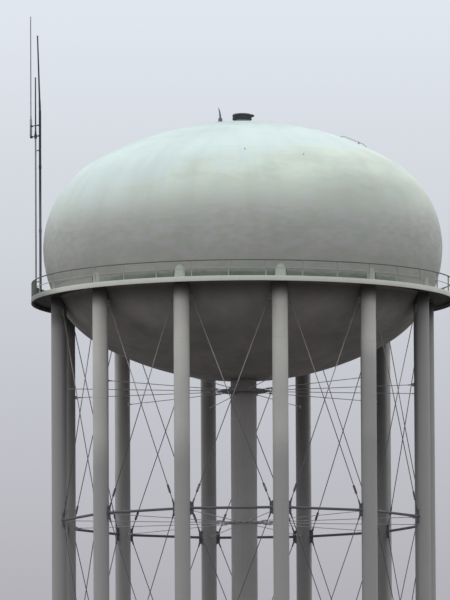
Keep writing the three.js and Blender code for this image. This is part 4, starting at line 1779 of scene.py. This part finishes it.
cap_tall = cap_top - neck_top
cap_profile = [(0, 0.012), (cap_radius - 0.03, 0.012), (cap_radius - 0.03, 0.0), (cap_radius - 0.008, 0.0),
               (cap_radius, 0.01), (cap_radius, 0.03), (cap_radius - 0.012, 0.04), (cap_radius - 0.012, 0.12),
               (cap_radius, 0.132), (cap_radius, 0.15), (dome_radius, dome_foot)]
cap_profile += [(dome_radius * cos(radians(t)), dome_foot + (cap_tall - dome_foot) * sin(radians(t)))
                for t in range(15, 90, 15)] + [(0, cap_tall)]
cap = Shape().add(turned(cap_profile, vent_sides), move(0, 0, neck_top))
for turn in around(rib_count):
    rib = [(0, -cap_radius + 0.01, neck_top + 0.042), (0, -cap_radius + 0.01, neck_top + 0.118)]
    cap.add(bar(rib, rib_radius, 8), spin(turn))
spout = [(cap_radius - 0.03, 0, neck_top + 0.13), (cap_radius, 0, neck_top + 0.128),
         (cap_radius + 0.04, 0, neck_top + 0.125), (cap_radius + 0.08, 0, neck_top + 0.12)]
cap.add(bar(spout, spout_sizes, 20), spin(degrees(camera_turn)))
finish_piece("vent_cap", cap, vent_metal, "vent_metal", "roof_vent_cap")
print("vent:", triangle_count["vent_cap"], "triangles")

# %% [markdown]
# Beside the vent stands the lightning rod: a small round box on the roof with a tapered spike. The spike
# is bent a little, as the photograph shows.

# %% Lightning rod
rod_offset = 0.64
rod_turn = -86.0
box_radius = 0.062
box_top = roof_top + 0.15
spike_top = high("lightning_rod").z
spike_bend = [(0, 0), (0.004, 0.25), (0.012, 0.5), (0.03, 0.75), (0.05, 1.0)]
spike_sizes = [0.03, 0.028, 0.024, 0.018, 0.006]

spike = Shape()
spike.add(turned([(0, roof_top - 0.05), (box_radius * 1.3, roof_top - 0.05),
                  (box_radius * 1.3, roof_top - 0.005), (box_radius, roof_top + 0.01),
                  (box_radius, box_top - 0.03), (box_radius * 0.8, box_top), (0, box_top)], 32))
tall = spike_top - box_top
spike.add(bar([(0, -aside, box_top - 0.01 + tall * share) for aside, share in spike_bend], spike_sizes, 14))
finish_piece("lightning_spike", spike, spike_metal, "vent_metal", "lightning_rod",
             place=spin(rod_turn) @ move(0, -rod_offset, 0))
print("lightning rod:", triangle_count["lightning_spike"], "triangles")

# %% [markdown]
# A few small things are left on the roof from the days of its building. At the right edge of the crown a
# grab bar of painted rod, with a dark ring bolt beside it, runs down the slope, and two painted ring
# bolts stand lower at the front. Each sits on the plate: the height of a point follows from its distance
# from the axis, by the arc of the crown near the top and by that of the shoulder further out.

# %% Grab bar on the roof
grab_start = (77.0, 2.98)
grab_end = (81.1, 3.735)
grab_lift = 0.05
grab_radius = 0.01
grab_steps = 12
crown_edge = crown_radius * sin(radians(crown_turn))


def on_roof(turn, reach, lift=0.0):
    """A point on the roof's plate, and the angle in degrees by which the plate slopes there."""
    arc = crown_arc if reach < crown_edge else shoulder_arc
    slope = asin((reach - arc[0]) / arc[2])
    out = reach + lift * sin(slope)
    at = arc[1] + arc[2] * cos(slope) + lift * cos(slope)
    return on_circle(out, radians(turn), at), degrees(slope)


handle = []
for i in range(grab_steps + 1):
    share = i / grab_steps
    turn, reach = [first + (last - first) * share for first, last in zip(grab_start, grab_end)]
    handle.append(on_roof(turn, reach, grab_lift * min(1.0, 8 * share, 8 * (1 - share)))[0])
finish_piece("roof_grab_bar", Shape().add(bar(handle, grab_radius, 10)), post_paint, "balcony_paint")
print("grab bar:", triangle_count["roof_grab_bar"], "triangles")

# %% Ring bolts on the roof
dark_bolt = (79.7, 3.51)
painted_bolts = [(4.8, 4.61), (25.5, 4.8)]


def ring_bolt(shape, turn, reach, ring_radius):
    """A ring that stands on a round foot, upright to the plate."""
    spot, slope = on_roof(turn, reach)
    place = move(*spot) @ spin(turn) @ spin(slope, "X")
    lift, thick = ring_radius * 1.5, ring_radius * 0.3
    ring = [(ring_radius * cos(radians(t)), 0.0, lift + ring_radius * sin(radians(t))) for t in around(16)]
    foot = [(0, -0.004), (ring_radius * 1.2, -0.004), (ring_radius * 1.2, thick),
            (ring_radius * 0.7, thick * 2), (0, thick * 2)]
    shape.add(bar(ring, thick, 8, loop=True), place)
    shape.add(turned(foot, 16), place)


dark_ring, painted_rings = Shape(), Shape()
ring_bolt(dark_ring, *dark_bolt, 0.024)
for turn, reach in painted_bolts:
    ring_bolt(painted_rings, turn, reach, 0.016)
finish_piece("roof_ring_bolt", dark_ring, vent_metal, "vent_metal")
finish_piece("roof_lugs", painted_rings, post_paint, "balcony_paint")
print("ring bolts on the roof:", 1 + len(painted_bolts))

# %% [markdown]
# The antennas stand at the left end of the balcony. A galvanised mast carries one whip at its top and
# holds a second one out on two arms. A thinner pipe stands beside it, tied back with two links, and
# carries a third whip. They are laid out from the mast along +X and then turned to their place, so the
# sizes along the arm can be read straight off.

# %% Antenna sizes
antenna_turn = -86.0
mast_place = (0.44, 5.927)
side_place = (0.19, 6.198)
mast_radius = 0.036
mast_top = high("antenna_mast").z
mast_whip_top = high("antenna_mast_whip").z
whip_lean = 2.3
pipe_radius = 0.024
pipe_top = fascia_bottom + 4.87
pipe_whip_top = high("antenna_side_pipe").z
sleeve_radius = 0.034
sleeve_bottom = low("antenna_side_whip").z
sleeve_top = fascia_bottom + 5.45
side_whip_top = high("antenna_side_whip").z
arm_heights = [fascia_bottom + 4.92, fascia_bottom + 5.235]
link_heights = [deck_top + 0.5, deck_top + 4.37]
arm_turn = degrees(atan2(side_place[1] - mast_place[1], mast_place[0] - side_place[0]))
arm_reach = hypot(side_place[0] - mast_place[0], side_place[1] - mast_place[1])
pipe_out = arm_reach * 0.39
pipe_aside = pipe_radius + 0.0133
at_mast = spin(antenna_turn) @ move(mast_place[0], -mast_place[1], 0) @ spin(180 + arm_turn)
print(f"the arms reach {arm_reach:.2f} m out from the mast")

# %% [markdown]
# The mast is made of lengths of pipe, screwed together with two collars, and stands on a bolted foot
# plate. Its two arms are square bars, and each is held to it by a U-bolt: a rod bent round the pipe, with
# a saddle plate and two nuts.

# %% U-bolts
bolt_reach = 0.05
bolt_radius = 0.004


def u_bolt(shape, radius, at):
    """A bent rod round a pipe on the Z axis, with a small saddle plate and two nuts on the +X side."""
    reach = radius + 0.005
    path = [(bolt_reach, -reach, at), (0, -reach, at)]
    path += [(-reach * sin(radians(t)), -reach * cos(radians(t)), at) for t in range(30, 180, 30)]
    path += [(0, reach, at), (bolt_reach, reach, at)]
    shape.add(bar(path, bolt_radius, 8))
    shape.add(block(0.008, reach * 2 + 0.04, 0.04, eased), move(radius + 0.004, 0, at))
    for side in (-1, 1):
        shape.add(nut(0.008, 0.008), move(radius + 0.008, side * reach, at) @ spin(90, "Y"))


print("U-bolts of", round(bolt_radius * 2000), "mm rod")

# %% Mast and arms
foot_radius = 0.08
foot_nut = (0.009, 0.01)
foot_nut_reach = 0.062
collar_shares = (0.36, 0.7)
mast_sides = 32
arm_side = 0.026

mast = Shape()
mast.add(turned([(0, deck_top), (foot_radius, deck_top), (foot_radius, deck_top + 0.014),
                 (foot_radius - 0.002, deck_top + 0.016), (mast_radius, deck_top + 0.018),
                 (mast_radius, mast_top - 0.006), (mast_radius - 0.006, mast_top), (0, mast_top)],
                 mast_sides))
for turn in around(4, 45):
    mast.add(nut(*foot_nut), spin(turn) @ move(0, -foot_nut_reach, deck_top + 0.016))
for share in collar_shares:
    at = deck_top + (mast_top - deck_top) * share
    mast.add(turned([(mast_radius - 0.002, at - 0.05), (mast_radius + 0.007, at - 0.046),
                     (mast_radius + 0.007, at + 0.046), (mast_radius - 0.002, at + 0.05)], mast_sides,
                    closed=True))
arm_end = arm_reach - sleeve_radius
for at in arm_heights:
    mast.add(block(arm_end - mast_radius + 0.01, arm_side, arm_side, 0.003),
             move((arm_end + mast_radius) / 2, 0, at))
    u_bolt(mast, mast_radius, at)
    mast.add(block(0.008, 0.08, 0.05, eased), move(arm_end - 0.004, 0, at))
finish_piece("mast_pipe", mast, mast_metal, "mast_metal", "antenna_mast", place=at_mast)
print("mast:", triangle_count["mast_pipe"], "triangles")

# %% [markdown]
# A whip is a fibreglass rod that grows thinner towards a small round tip, with a ferrule at its foot, which
# is thicker than the rod and tapers into it. The one on the mast leans a little, as the photograph shows.

# %% Whip on the mast
whip_sides = 16
taper_steps = 10


def whip_rod(bottom, top, foot_radius, tip_radius, ferrule):
    profile = [(0, bottom), (foot_radius * 1.25, bottom), (foot_radius * 1.25, bottom + ferrule * 0.6),
               (foot_radius * 1.1, bottom + ferrule), (foot_radius, bottom + ferrule)]
    profile += [(foot_radius + (tip_radius - foot_radius) * i / taper_steps,
                 bottom + ferrule + (top - bottom - ferrule - 0.02) * i / taper_steps)
                for i in range(1, taper_steps + 1)]
    profile += [(tip_radius * 1.4, top - 0.018), (tip_radius * 1.4, top - 0.006), (0, top)]
    return turned(profile, whip_sides)


mast_whip = Shape().add(whip_rod(0.001, mast_whip_top - mast_top - 0.004, 0.026, 0.019, 0.34))
finish_piece("mast_whip_rod", mast_whip, dark_fibre, "whip_fibreglass", "antenna_mast_whip",
             place=at_mast @ move(0, 0, mast_top) @ spin(whip_lean, "Y"))
print("mast whip:", triangle_count["mast_whip_rod"], "triangles")

# %% [markdown]
# The side pipe stands on the deck next to the mast, and a coupler joins its whip to it. The last whip
# hangs on the arms in a metal sleeve, with a small hook under it.

# %% Side pipe with its whip
coupler_radius = 0.04
at_pipe = move(pipe_out, pipe_aside, 0)

side_pipe = Shape()
side_pipe.add(turned([(0, deck_top), (pipe_radius, deck_top), (pipe_radius, pipe_top - 0.004),
                      (pipe_radius - 0.004, pipe_top), (0, pipe_top)], 24), at_pipe)
for at in link_heights:
    side_pipe.add(block(pipe_out - mast_radius + 0.02, 0.02, 0.026, 0.002),
                  move((pipe_out + mast_radius) / 2, pipe_aside - 0.014, at))
    u_bolt(side_pipe, mast_radius, at)
finish_piece("side_pipe", side_pipe, pipe_metal, "mast_metal", "antenna_side_pipe", place=at_mast)

coupler = [(0, pipe_top - 0.03), (pipe_radius + 0.002, pipe_top - 0.03), (coupler_radius, pipe_top - 0.015),
           (coupler_radius, pipe_top + 0.11), (pipe_radius, pipe_top + 0.125), (0, pipe_top + 0.125)]
pipe_whip = Shape().add(turned(coupler, 24), at_pipe)
pipe_whip.add(whip_rod(pipe_top + 0.115, pipe_whip_top, 0.022, 0.017, 0.1), at_pipe)
finish_piece("side_pipe_whip", pipe_whip, dark_fibre, "whip_fibreglass", "antenna_side_pipe", place=at_mast)
print("side pipe:", triangle_count["side_pipe"], "triangles")

# %% Sleeve with the side whip
at_sleeve = move(arm_reach, 0, 0)

sleeve = [(0, sleeve_bottom), (sleeve_radius * 0.7, sleeve_bottom), (sleeve_radius, sleeve_bottom + 0.02),
          (sleeve_radius, sleeve_top - 0.02), (sleeve_radius * 0.7, sleeve_top), (0, sleeve_top)]
sleeve_pipe = Shape().add(turned(sleeve, 24), at_sleeve)
hook = [(0.0, 0, 0.012), (-0.03, 0, 0.0), (-0.06, 0, 0.004), (-0.08, 0, 0.03)]
sleeve_pipe.add(bar(hook, 0.011, 10), move(arm_reach, 0, sleeve_bottom))
finish_piece("side_whip_sleeve", sleeve_pipe, pipe_metal, "mast_metal", "antenna_side_whip", place=at_mast)

side_whip = Shape().add(whip_rod(sleeve_top - 0.01, side_whip_top, 0.018, 0.015, 0.12), at_sleeve)
finish_piece("side_whip_rod", side_whip, pale_fibre, "whip_fibreglass", "antenna_side_whip", place=at_mast)
print("side whip:", triangle_count["side_whip_rod"], "triangles")

# %% [markdown]
# Last, the pieces of the dressed tower and their triangles are counted.

# %% Totals
print("pieces:", len(triangle_count), "triangles:", sum(triangle_count.values()))
